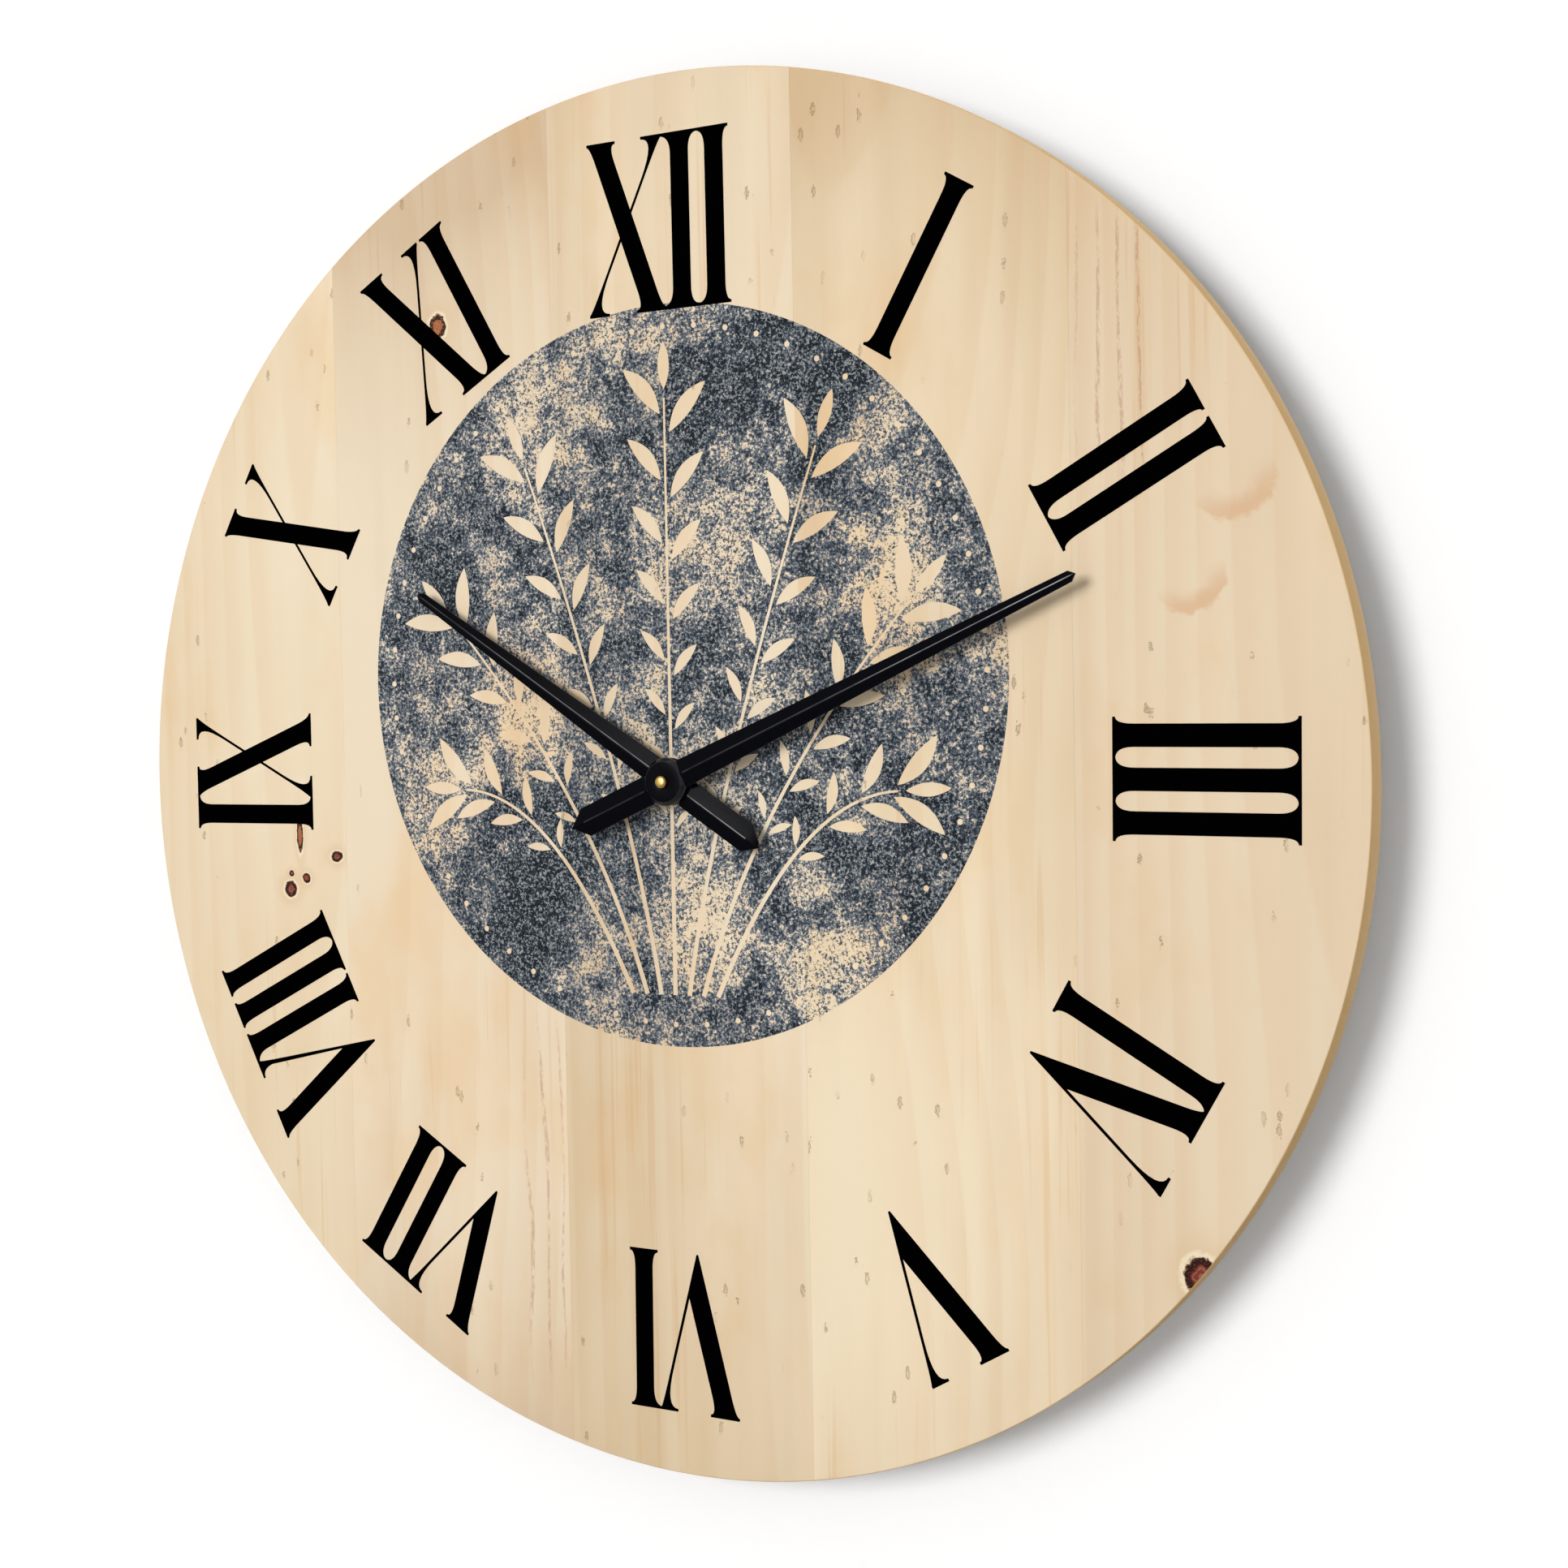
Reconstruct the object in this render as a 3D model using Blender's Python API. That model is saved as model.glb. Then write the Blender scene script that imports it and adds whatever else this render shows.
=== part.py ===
"""Round wall clock: five edge-glued pine boards, two battens, a battery quartz movement and black hands.

Metres, +Z up. The dial faces -Y and the wall is the plane Y = 0. X runs to the right as seen from the front.
The origin is where the wall screw sits in the hanger's slot. Depths inside the movement are counted from the
front of its case towards the wall.
"""

import math

import bmesh
import bpy
from mathutils import Matrix

MM = 0.001
INCH = 25.4 * MM

# Clearances
SEAT = 0.3 * MM  # between pieces that touch, are glued or are pressed together
RUNNING = 0.08 * MM  # around a turning arbor in its hole
SHAFT_PLAY = 0.2 * MM  # between the coaxial shafts of the hands
SCREW_SINK = 0.3 * MM  # how far a screw head lies below the wood
OVERRUN = 1 * MM  # how far a cutter runs past what it cuts

# Wooden disc and its battens
DISC_DIAMETER = 24 * INCH
BOARD_COUNT = 5
BOARD_WIDTH = 4.875 * INCH
BOARD_THICKNESS = 0.5 * INCH
RIM_ARRIS = 0.6 * MM
BATTEN_LENGTH = 440 * MM
BATTEN_HEIGHT = 1.5 * INCH
BATTEN_DEPTH = 0.75 * INCH
BATTEN_OFFSET = 150 * MM  # from the disc's centre to each batten's middle
BATTEN_ARRIS = 1.0 * MM

# Wood screws, one for each board in each batten
SCREW_LENGTH = 28 * MM
SCREW_SHANK_RADIUS = 2.0 * MM
SCREW_HEAD_RADIUS = 4.0 * MM
SCREW_HEAD_HEIGHT = 2.6 * MM
SCREW_TIP = 4.0 * MM
CROSS_LENGTH = 4.4 * MM
CROSS_WIDTH = 0.9 * MM
CROSS_DEPTH = 1.3 * MM

# Keyhole hanger, let into the upper batten
HANGER_LENGTH = 44 * MM
HANGER_WIDTH = 16 * MM
HANGER_THICKNESS = 1.5 * MM
HANGER_CORNER = 3 * MM
HANGER_ENTRY_RADIUS = 4.8 * MM
HANGER_SLOT_RADIUS = 2.4 * MM
HANGER_SLOT_RISE = 9 * MM
HANGER_SCREW_INSET = 5 * MM  # from an end of the plate to its screw
HANGER_SCREW_LENGTH = 12 * MM
HANGER_POCKET_DEPTH = 9 * MM
HANGER_POCKET_MARGIN = 1.2 * MM
HANGER_SCREW_ASIDE = 12 * MM  # from the hanger's end to the nearest batten screw

# Movement case
CASE_CORNER = 3 * MM
CASE_WALL = 1.2 * MM
CASE_SPLIT = 9.0 * MM  # depth where the base's walls end
GASKET_RADIUS = 9.0 * MM
GASKET_THICKNESS = 1.0 * MM
BUSHING_RADIUS = 3.9 * MM
BUSHING_WALL = 1.15 * MM
BUSHING_PROUD = 4.7 * MM  # above the dial
WASHER_RADIUS = 6.5 * MM
WASHER_THICKNESS = 0.6 * MM
NUT_ACROSS_FLATS = 11 * MM
NUT_THICKNESS = 2.2 * MM

# Battery and its contacts
BATTERY_DIAMETER = 14.5 * MM
BATTERY_LENGTH = 50.5 * MM
BATTERY_NUB_RADIUS = 2.75 * MM
BATTERY_NUB_LENGTH = 1.3 * MM
BATTERY_PLAY = 0.4 * MM
BATTERY_END_ROOM = 1.55 * MM  # from an end of the cell to the case's wall, for its contact
BATTERY_PROUD = 0.5 * MM  # behind the back of the case
BATTERY_ARRIS = 0.5 * MM
CONTACT_THICKNESS = 0.4 * MM
CONTACT_WIDTH = 4 * MM
CONTACT_FOOT = 2 * MM  # above the floor of the bay
CONTACT_PLAY = 1 * MM  # beside each contact, in its notch of the partition
PARTITION = 0.8 * MM

# Gear train: teeth, and the module of each mesh
TRAIN_MODULE = 0.25 * MM
WHEEL_THICKNESS = 0.8 * MM
PINION_OVERHANG = 0.2 * MM  # a pinion runs past its wheel on each side
LEVEL_STEP = 1.5 * MM  # from one wheel to the next, in depth
CENTRE_TEETH = 64
THIRD_TEETH = 60
SECONDS_TEETH = 60
FIFTH_TEETH = 40
TRAIN_PINION_TEETH = 8
FIFTH_PINION_TEETH = 10
MINUTE_PINION_TEETH = 12
MOTION_TEETH = 36
MOTION_PINION_TEETH = 10
HOUR_TEETH = 40
SETTING_PINION_TEETH = 12
PINION_TEETH_MOST = 12  # a gear with more teeth has a wheel's proportions
PINION_TOOTH = (0.75, 0.09, 0.19)  # addendum in modules, half a tip and half a root in pitches
WHEEL_TOOTH = (0.8, 0.08, 0.22)
DEDENDUM = 1.15  # in modules
ARBOR_RADIUS = 0.5 * MM
PIVOT_DEPTH = 0.8 * MM
FIFTH_CENTRE_DISTANCE = 9.1 * MM
THIRD_DIRECTION = 150  # degrees from +X towards +Z
FIFTH_DIRECTION = 60
ROTOR_DIRECTION = 35
MOTION_DIRECTION = -30
SETTING_DIRECTION = -20

# Shafts of the hands
HOUR_PIPE_RADIUS = 2.5 * MM
HOUR_PIPE_PROUD = 8.0 * MM  # above the dial
MINUTE_ARBOR_RADIUS = 1.5 * MM
MINUTE_ARBOR_WAIST = 1.1 * MM
MINUTE_ARBOR_BORE = 0.75 * MM
MINUTE_ARBOR_PROUD = 13.2 * MM
SECONDS_ARBOR_PROUD = 12.0 * MM
SETTING_SHAFT_RADIUS = 1.1 * MM
SETTING_KNOB_RADIUS = 5.5 * MM
SETTING_KNOB_THICKNESS = 1.2 * MM
SETTING_KNOB_RIDGES = 20

# Stepping motor and electronics
ROTOR_RADIUS = 3.0 * MM
ROTOR_THICKNESS = 2.0 * MM
ROTOR_HUB_RADIUS = 0.8 * MM
ROTOR_AIR_GAP = 0.4 * MM
STATOR_THICKNESS = 1.0 * MM
STATOR_PAD = 1.8 * MM
STATOR_BAR = 4.6 * MM
STATOR_LEFT = -10 * MM
STATOR_LEG = 3.6 * MM
STATOR_TOP = 23.2 * MM
CORE_BAR = 2.2 * MM
COIL_HEIGHT = 6.6 * MM
COIL_DEPTH = 5.0 * MM
COIL_CORNER = 1.2 * MM
CORE_CORNER = 0.2 * MM
WINDING_SINK = 0.4 * MM  # below the rims of the bobbin's flanges
BOBBIN_WALL = 0.6 * MM
BOBBIN_FLANGE = 1.0 * MM
POST_RADIUS = 1.0 * MM
PILLAR_RADIUS = 1.5 * MM
PILLAR_ROOM = 2 * MM  # from the third wheel's pitch circle to the middle of a pillar
UPPER_PILLAR_RISE = 5.5 * MM  # above the third arbor
LOWER_PILLAR_ASIDE = 5.8 * MM  # left of the third arbor
RIGHT_PILLAR_OFFSET = (4.6 * MM, 7.5 * MM)  # from the setting knob's shaft
BRIDGE_THICKNESS = 1.0 * MM
BOARD_STRIP = 2.8 * MM
CIRCUIT_THICKNESS = 0.8 * MM
CIRCUIT_BLOCK_WIDTH = 9.5 * MM
CIRCUIT_BLOCK_TOP = 6 * MM
CIRCUIT_POST_INSET = 6.8 * MM  # from the case's inner wall
CRYSTAL_RADIUS = 1.0 * MM
CRYSTAL_LENGTH = 6 * MM
CRYSTAL_INSET = 3 * MM  # from the case's inner wall
CHIP_RADIUS = 2.2 * MM
CHIP_HEIGHT = 1.2 * MM
CHIP_INSET = 7 * MM  # from the case's inner wall
CHIP_DROP = 2 * MM  # below the centre of the movement

# Hands, pressed from sheet with a ridge along the middle
SHEET = 0.7 * MM
RIDGE_SLOPE = 0.27  # rise of a facet over its width
MINUTE_LENGTH = 208 * MM
HOUR_LENGTH = 160 * MM
TAIL_LENGTH = 52.5 * MM
BLADE_HALF_WIDTH = 6.4 * MM  # at the hub
TAIL_HALF_WIDTH = 6.5 * MM
TIP_HALF_WIDTH = 2.35 * MM
POINT_SHARE = 1.1  # length of a pointed end over its half-width
HUB_RADIUS = 8.7 * MM
HUB_SKIRT = 1.7 * MM
HUB_RISE = 0.5 * MM  # above the ridges
NUT_SEAT_RADIUS = 3.1 * MM
NUT_SEAT_DEPTH = 0.6 * MM
HOUR_HAND_PROUD = 5.4 * MM  # underside of its blade above the dial
HAND_CLEARANCE = 0.9 * MM  # between the two hands
MINUTE_CLOCK_ANGLE = 66.9  # degrees clockwise from twelve
HOUR_CLOCK_ANGLE = 302.4
BUSH_RADIUS = 3.6 * MM
BUSH_LENGTH = 2.4 * MM
CAP_NUT_RADIUS = 2.7 * MM
CAP_NUT_DOME = 0.6 * MM

# Facets
RIM_STEP = 2.5  # degrees
HUB_FACETS = 32
NUT_FACETS = 24
PIPE_FACETS = 16
PIN_FACETS = 12
DOME_STEPS = (0.45, 0.8)  # shares of a dome's height
SHARP_ANGLE = 35  # degrees, above which an edge shows
GUIDE_SIZE = 10 * MM  # of the empties that mark an axis

# Planes and places worked out from the sizes above
DISC_RADIUS = DISC_DIAMETER / 2
CENTRE_Z = -(BATTEN_OFFSET + HANGER_SLOT_RISE / 2)
BOARD_BACK = -(BATTEN_DEPTH + SEAT)
DIAL = BOARD_BACK - BOARD_THICKNESS
CASE_FRONT = BOARD_BACK + GASKET_THICKNESS + 2 * SEAT
DIAL_DEPTH = DIAL - CASE_FRONT
CASE_DEPTH = CASE_WALL + SEAT + BATTERY_DIAMETER - BATTERY_PROUD
CASE_INSIDE = BATTERY_LENGTH / 2 + BATTERY_END_ROOM
CASE_SIDE = 2 * (CASE_INSIDE + CASE_WALL)
BAY_HEIGHT = BATTERY_DIAMETER + 2 * BATTERY_PLAY
BATTERY_Z = -CASE_INSIDE + BAY_HEIGHT / 2
BATTERY_DEPTH = CASE_WALL + SEAT + BATTERY_DIAMETER / 2
BAY_TOP = -CASE_INSIDE + BAY_HEIGHT
PARTITION_TOP = BAY_TOP + PARTITION
HOUR_LEVEL = CASE_WALL + SEAT
MOTION_LEVEL = HOUR_LEVEL + LEVEL_STEP
CENTRE_LEVEL = MOTION_LEVEL + LEVEL_STEP
THIRD_LEVEL = CENTRE_LEVEL + LEVEL_STEP
SECONDS_LEVEL = THIRD_LEVEL + LEVEL_STEP
FIFTH_LEVEL = SECONDS_LEVEL + LEVEL_STEP
ROTOR_LEVEL = FIFTH_LEVEL + WHEEL_THICKNESS + PINION_OVERHANG + SEAT
STATOR_LEVEL = ROTOR_LEVEL + (ROTOR_THICKNESS - STATOR_THICKNESS) / 2
BRIDGE_LEVEL = ROTOR_LEVEL + ROTOR_THICKNESS + SEAT
COVER_PLATE = max(CASE_DEPTH - CASE_WALL, BRIDGE_LEVEL + BRIDGE_THICKNESS + SEAT)
CASE_BACK = COVER_PLATE + CASE_WALL


def polar(distance, degrees):
    """A point in the dial's plane, as (x, z)."""
    angle = math.radians(degrees)
    return distance * math.cos(angle), distance * math.sin(angle)


def plus(a, b):
    return a[0] + b[0], a[1] + b[1]


THIRD_DISTANCE = TRAIN_MODULE * (CENTRE_TEETH + TRAIN_PINION_TEETH) / 2
THIRD_MODULE = 2 * THIRD_DISTANCE / (THIRD_TEETH + TRAIN_PINION_TEETH)
SECONDS_MODULE = 2 * FIFTH_CENTRE_DISTANCE / (SECONDS_TEETH + FIFTH_PINION_TEETH)
ROTOR_DISTANCE = TRAIN_MODULE * (FIFTH_TEETH + TRAIN_PINION_TEETH) / 2
MOTION_DISTANCE = TRAIN_MODULE * (MOTION_TEETH + MINUTE_PINION_TEETH) / 2
HOUR_MODULE = 2 * MOTION_DISTANCE / (HOUR_TEETH + MOTION_PINION_TEETH)
SETTING_DISTANCE = TRAIN_MODULE * (MOTION_TEETH + SETTING_PINION_TEETH) / 2
CENTRE_AT = (0.0, 0.0)
THIRD_AT = polar(THIRD_DISTANCE, THIRD_DIRECTION)
FIFTH_AT = polar(FIFTH_CENTRE_DISTANCE, FIFTH_DIRECTION)
ROTOR_AT = plus(FIFTH_AT, polar(ROTOR_DISTANCE, ROTOR_DIRECTION))
MOTION_AT = polar(MOTION_DISTANCE, MOTION_DIRECTION)
SETTING_AT = plus(MOTION_AT, polar(SETTING_DISTANCE, SETTING_DIRECTION))


# Mesh helpers. Each returns a bmesh in its piece's own space.


def tidy(mesh):
    bmesh.ops.recalc_face_normals(mesh, faces=mesh.faces)
    return mesh


def loft(rings):
    """A closed body through rings of points, each ring as long as the next or a single point."""
    mesh = bmesh.new()
    rows = [[mesh.verts.new(point) for point in ring] for ring in rings]
    for low, high in zip(rows, rows[1:]):
        count = max(len(low), len(high))
        for i in range(count):
            j = (i + 1) % count
            corners = [low[i % len(low)], low[j % len(low)], high[j % len(high)], high[i % len(high)]]
            mesh.faces.new(list(dict.fromkeys(corners)))
    for row in (rows[0], rows[-1]):
        if len(row) > 2:
            mesh.faces.new(row)
    return tidy(mesh)


def prism(outline, front, back):
    """An outline of (x, z) points, carried from one depth to another."""
    return loft([[(x, depth, z) for x, z in outline] for depth in (front, back)])


def circle(radius, sides=PIN_FACETS, at=(0.0, 0.0)):
    return [plus(at, polar(radius, 360 * i / sides)) for i in range(sides)]


def round_hole(radius, sides=PIN_FACETS, at=(0.0, 0.0)):
    """A circle whose flats, not its corners, lie at the radius."""
    return circle(radius / math.cos(math.pi / sides), sides, at)


def turned(profile, sides=PIN_FACETS, closed=False):
    """A profile of (radius, depth) points turned about the Y axis. A closed profile makes a ring."""
    points = profile + profile[:1] if closed else profile
    rings = []
    for radius, depth in points:
        outline = circle(radius, sides) if radius else [(0.0, 0.0)]
        rings.append([(x, depth, z) for x, z in outline])
    if not closed:
        return loft(rings)
    mesh = bmesh.new()
    rows = [[mesh.verts.new(point) for point in ring] for ring in rings[:-1]]
    for low, high in zip(rows, rows[1:] + rows[:1]):
        for i in range(sides):
            j = (i + 1) % sides
            mesh.faces.new((low[i], low[j], high[j], high[i]))
    return tidy(mesh)


def tube(outer, inner, front, back, sides=HUB_FACETS):
    return turned([(outer, front), (outer, back), (inner, back), (inner, front)], sides, closed=True)


def rod(radius, front, back, at=(0.0, 0.0), sides=PIN_FACETS):
    return prism(circle(radius, sides, at), front, back)


def hole(radius, front, back, at=(0.0, 0.0), sides=PIN_FACETS):
    return prism(round_hole(radius, sides, at), front, back)


def block(left, right, front, back, bottom, top):
    return prism([(left, bottom), (right, bottom), (right, top), (left, top)], front, back)


def rounded(width, height, corner, steps=4):
    """A rectangle's outline about the origin, with round corners."""
    outline = []
    for k, (sx, sz) in enumerate(((1, 1), (-1, 1), (-1, -1), (1, -1))):
        middle = (sx * (width / 2 - corner), sz * (height / 2 - corner))
        for i in range(steps + 1):
            outline.append(plus(middle, polar(corner, 90 * k + 90 * i / steps)))
    return outline


def moved(mesh, x=0.0, y=0.0, z=0.0):
    bmesh.ops.translate(mesh, vec=(x, y, z), verts=mesh.verts)
    return mesh


def turned_about(mesh, axis, degrees):
    bmesh.ops.rotate(mesh, matrix=Matrix.Rotation(math.radians(degrees), 3, axis), verts=mesh.verts)
    return mesh


def joined(meshes):
    """Bodies that don't touch, in one mesh, for use as one cutter."""
    result = bmesh.new()
    for mesh in meshes:
        holder = bpy.data.meshes.new("holder")
        mesh.to_mesh(holder)
        mesh.free()
        result.from_mesh(holder)
        bpy.data.meshes.remove(holder)
    return result


def combined(first, second, operation):
    """The Boolean of two closed meshes."""
    blanks = []
    for mesh in (first, second):
        data = bpy.data.meshes.new("blank")
        mesh.to_mesh(data)
        mesh.free()
        blanks.append(bpy.data.objects.new("blank", data))
        bpy.context.scene.collection.objects.link(blanks[-1])
    modifier = blanks[0].modifiers.new("Boolean", "BOOLEAN")
    modifier.operation = operation
    modifier.object = blanks[1]
    bpy.context.view_layer.update()
    result = bmesh.new()
    result.from_object(blanks[0], bpy.context.evaluated_depsgraph_get())
    for blank in blanks:
        data = blank.data
        bpy.data.objects.remove(blank)
        bpy.data.meshes.remove(data)
    return result


def fused(*meshes):
    result = meshes[0]
    for mesh in meshes[1:]:
        result = combined(result, mesh, "UNION")
    return result


def cut(mesh, *cutters):
    for cutter in cutters:
        mesh = combined(mesh, cutter, "DIFFERENCE")
    return mesh


# Scene helpers


def finish(name, colour, roughness, metallic=0.0):
    material = bpy.data.materials.new(name)
    material.use_nodes = True
    shader = material.node_tree.nodes["Principled BSDF"]
    shader.inputs["Base Color"].default_value = (*colour, 1.0)
    shader.inputs["Roughness"].default_value = roughness
    shader.inputs["Metallic"].default_value = metallic
    material.diffuse_color = (*colour, 1.0)
    return material


def empty(name, x, y, z, parent=None):
    guide = bpy.data.objects.new(name, None)
    guide.empty_display_size = GUIDE_SIZE
    bpy.context.scene.collection.objects.link(guide)
    guide.location = (x, y, z)
    guide.parent = parent
    return guide


def piece(name, mesh, material, parent, at=(0.0, 0.0, 0.0)):
    """Makes a node from a bmesh, or from the mesh of a piece that it repeats."""
    if isinstance(mesh, bmesh.types.BMesh):
        data = bpy.data.meshes.new(name)
        mesh.to_mesh(data)
        mesh.free()
        data.materials.append(material)
        data.shade_smooth()
        data.set_sharp_from_angle(angle=math.radians(SHARP_ANGLE))
    else:
        data = mesh
    made = bpy.data.objects.new(name, data)
    bpy.context.scene.collection.objects.link(made)
    made.parent = parent
    made.location = at
    return made


# Wooden disc


def board_ring(left, right, radius, depth):
    """The outline of one board at a disc radius: its top arc to the right, then its bottom arc back."""
    start = math.asin(max(left / radius, -1.0))
    end = math.asin(min(right / radius, 1.0))
    steps = max(2, round(math.degrees(end - start) / RIM_STEP))
    angles = [start + (end - start) * i / steps for i in range(steps + 1)]
    top = [(radius * math.sin(a), radius * math.cos(a)) for a in angles]
    bottom = [(x, -z) for x, z in reversed(top)]
    if left <= -radius:
        bottom = bottom[:-1]
    if right >= radius:
        bottom = bottom[1:]
    return [(x, depth, z) for x, z in top + bottom]


def board(index):
    """One board of the disc, with its rim edges eased and its pilot holes bored from behind."""
    middle = (index - (BOARD_COUNT - 1) / 2) * BOARD_WIDTH
    left, right = middle - (BOARD_WIDTH - SEAT) / 2, middle + (BOARD_WIDTH - SEAT) / 2
    if index == 0:
        left = -DISC_RADIUS
    if index == BOARD_COUNT - 1:
        right = DISC_RADIUS
    eased = DISC_RADIUS - RIM_ARRIS
    eased_left, eased_right = max(left, -eased), min(right, eased)
    rings = [
        board_ring(eased_left, eased_right, eased, DIAL),
        board_ring(left, right, DISC_RADIUS, DIAL + RIM_ARRIS),
        board_ring(left, right, DISC_RADIUS, BOARD_BACK - RIM_ARRIS),
        board_ring(eased_left, eased_right, eased, BOARD_BACK),
    ]
    mesh = loft(rings)
    end_of_pilot = -SCREW_SINK - SCREW_LENGTH - SEAT
    places = [(screw_x(index), side * BATTEN_OFFSET) for side in (1, -1)]
    pilots = [hole(SCREW_SHANK_RADIUS + SEAT, end_of_pilot, BOARD_BACK + OVERRUN, place) for place in places]
    mesh = cut(mesh, joined(pilots))
    if abs(middle) < BOARD_WIDTH / 2:
        shaft_hole = hole(BUSHING_RADIUS + SEAT, DIAL - OVERRUN, BOARD_BACK + OVERRUN, CENTRE_AT, HUB_FACETS)
        mesh = cut(mesh, shaft_hole)
    return mesh


def screw_x(index):
    """A screw sits in the middle of its board, or of what the batten covers of an outer board. The one in
    the middle board stands to one side, clear of the hanger."""
    side = index - (BOARD_COUNT - 1) / 2
    if side == 0:
        return HANGER_LENGTH / 2 + HANGER_SCREW_ASIDE
    if index in (0, BOARD_COUNT - 1):
        inner = (BOARD_COUNT / 2 - 1) * BOARD_WIDTH
        return math.copysign((inner + BATTEN_LENGTH / 2) / 2, side)
    return side * BOARD_WIDTH


def screw_blank(length, clearance=0.0):
    """A countersunk screw's outer form, its head at depth 0 facing the wall, or the hole that clears it."""
    head, shank = SCREW_HEAD_RADIUS + clearance, SCREW_SHANK_RADIUS + clearance
    profile = [(0.0, clearance and OVERRUN), (head, clearance and OVERRUN)]
    if clearance:
        profile.append((head, 0.0))
    profile.append((shank, -SCREW_HEAD_HEIGHT))
    if clearance:
        return profile + [(shank, -length), (0.0, -length)]
    return profile + [(shank, SCREW_TIP - length), (0.0, -length)]


def screw(length):
    mesh = turned(screw_blank(length))
    for across in ((CROSS_LENGTH, CROSS_WIDTH), (CROSS_WIDTH, CROSS_LENGTH)):
        width, height = across
        slot = block(-width / 2, width / 2, -CROSS_DEPTH, OVERRUN, -height / 2, height / 2)
        mesh = cut(mesh, slot)
    return mesh


def countersunk_hole(length, x, y, z):
    return moved(turned(screw_blank(length, SEAT)), x, y, z)


def batten():
    """A batten with eased edges and one countersunk hole for each board, centred on its own middle."""
    length, height = BATTEN_LENGTH / 2, BATTEN_HEIGHT / 2
    mesh = block(-length, length, -BATTEN_DEPTH, 0.0, -height, height)
    bmesh.ops.bevel(mesh, geom=mesh.edges[:], offset=BATTEN_ARRIS, segments=1, affect="EDGES")
    deep = BATTEN_DEPTH + OVERRUN
    holes = [countersunk_hole(deep, screw_x(index), -SCREW_SINK, 0.0) for index in range(BOARD_COUNT)]
    return cut(mesh, joined(holes))


# Keyhole hanger. The wall screw rests at the top of the slot, which is the origin.


def keyhole(front, back):
    """The hanger's keyhole: a round entry and a slot that rises from it."""
    entry = hole(HANGER_ENTRY_RADIUS, front, back, (0.0, -HANGER_SLOT_RISE), PIPE_FACETS)
    rise = block(-HANGER_SLOT_RADIUS, HANGER_SLOT_RADIUS, front, back, -HANGER_SLOT_RISE, 0.0)
    top = hole(HANGER_SLOT_RADIUS, front, back, (0.0, 0.0), PIPE_FACETS)
    return fused(entry, rise, top)


def hanger_screw_places():
    aside = HANGER_LENGTH / 2 - HANGER_SCREW_INSET
    return [(side * aside, -HANGER_SLOT_RISE / 2) for side in (-1, 1)]


def hanger_plate():
    plate = rounded(HANGER_LENGTH, HANGER_WIDTH, HANGER_CORNER)
    outline = [(x, z - HANGER_SLOT_RISE / 2) for x, z in plate]
    mesh = prism(outline, -HANGER_THICKNESS - SEAT, -SEAT)
    mesh = cut(mesh, keyhole(-HANGER_THICKNESS - OVERRUN, OVERRUN))
    holes = [countersunk_hole(HANGER_SCREW_LENGTH, x, -SCREW_SINK, z) for x, z in hanger_screw_places()]
    return cut(mesh, joined(holes))


def hanger_recess():
    """What the hanger takes out of the upper batten, in the hanger's own place."""
    rest = -HANGER_THICKNESS - 2 * SEAT
    plate = rounded(HANGER_LENGTH + 2 * SEAT, HANGER_WIDTH + 2 * SEAT, HANGER_CORNER + SEAT)
    outline = [(x, z - HANGER_SLOT_RISE / 2) for x, z in plate]
    recess = prism(outline, rest, OVERRUN)
    entry = HANGER_ENTRY_RADIUS + HANGER_POCKET_MARGIN
    pocket = block(-entry, entry, -HANGER_POCKET_DEPTH, rest + SEAT, -HANGER_SLOT_RISE - entry, entry)
    deep = HANGER_SCREW_LENGTH + SEAT
    screw_holes = [countersunk_hole(deep, x, -SCREW_SINK, z) for x, z in hanger_screw_places()]
    return fused(recess, pocket, joined(screw_holes))


# Movement case


def shell_outline(inset):
    side = CASE_SIDE - 2 * inset
    return rounded(side, side, CASE_CORNER - inset)


def movement_base():
    """Front half of the case: plate, walls, pivot holes, the motion wheel's post and the supports."""
    mesh = prism(shell_outline(0.0), 0.0, CASE_SPLIT)
    mesh = cut(mesh, prism(shell_outline(CASE_WALL), CASE_WALL, CASE_SPLIT + OVERRUN))
    floor = CASE_WALL - SEAT
    motion_post = rod(ARBOR_RADIUS, floor, MOTION_LEVEL + WHEEL_THICKNESS + SEAT, MOTION_AT)
    posts = [rod(POST_RADIUS, floor, CIRCUIT_LEVEL - SEAT, place) for place in CIRCUIT_POSTS]
    posts += [rod(POST_RADIUS, floor, STATOR_LEVEL - SEAT, place) for place in STATOR_POSTS]
    mesh = fused(mesh, joined([motion_post] + posts))
    pivots = [
        hole(ARBOR_RADIUS + RUNNING, CASE_WALL - PIVOT_DEPTH, CASE_WALL + SEAT, place)
        for place in (THIRD_AT, FIFTH_AT, ROTOR_AT, SETTING_AT)
    ]
    bushing_hole = hole(BUSHING_RADIUS + SEAT, -OVERRUN, CASE_WALL + OVERRUN, CENTRE_AT, HUB_FACETS)
    return cut(mesh, joined(pivots + [bushing_hole]))


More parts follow.
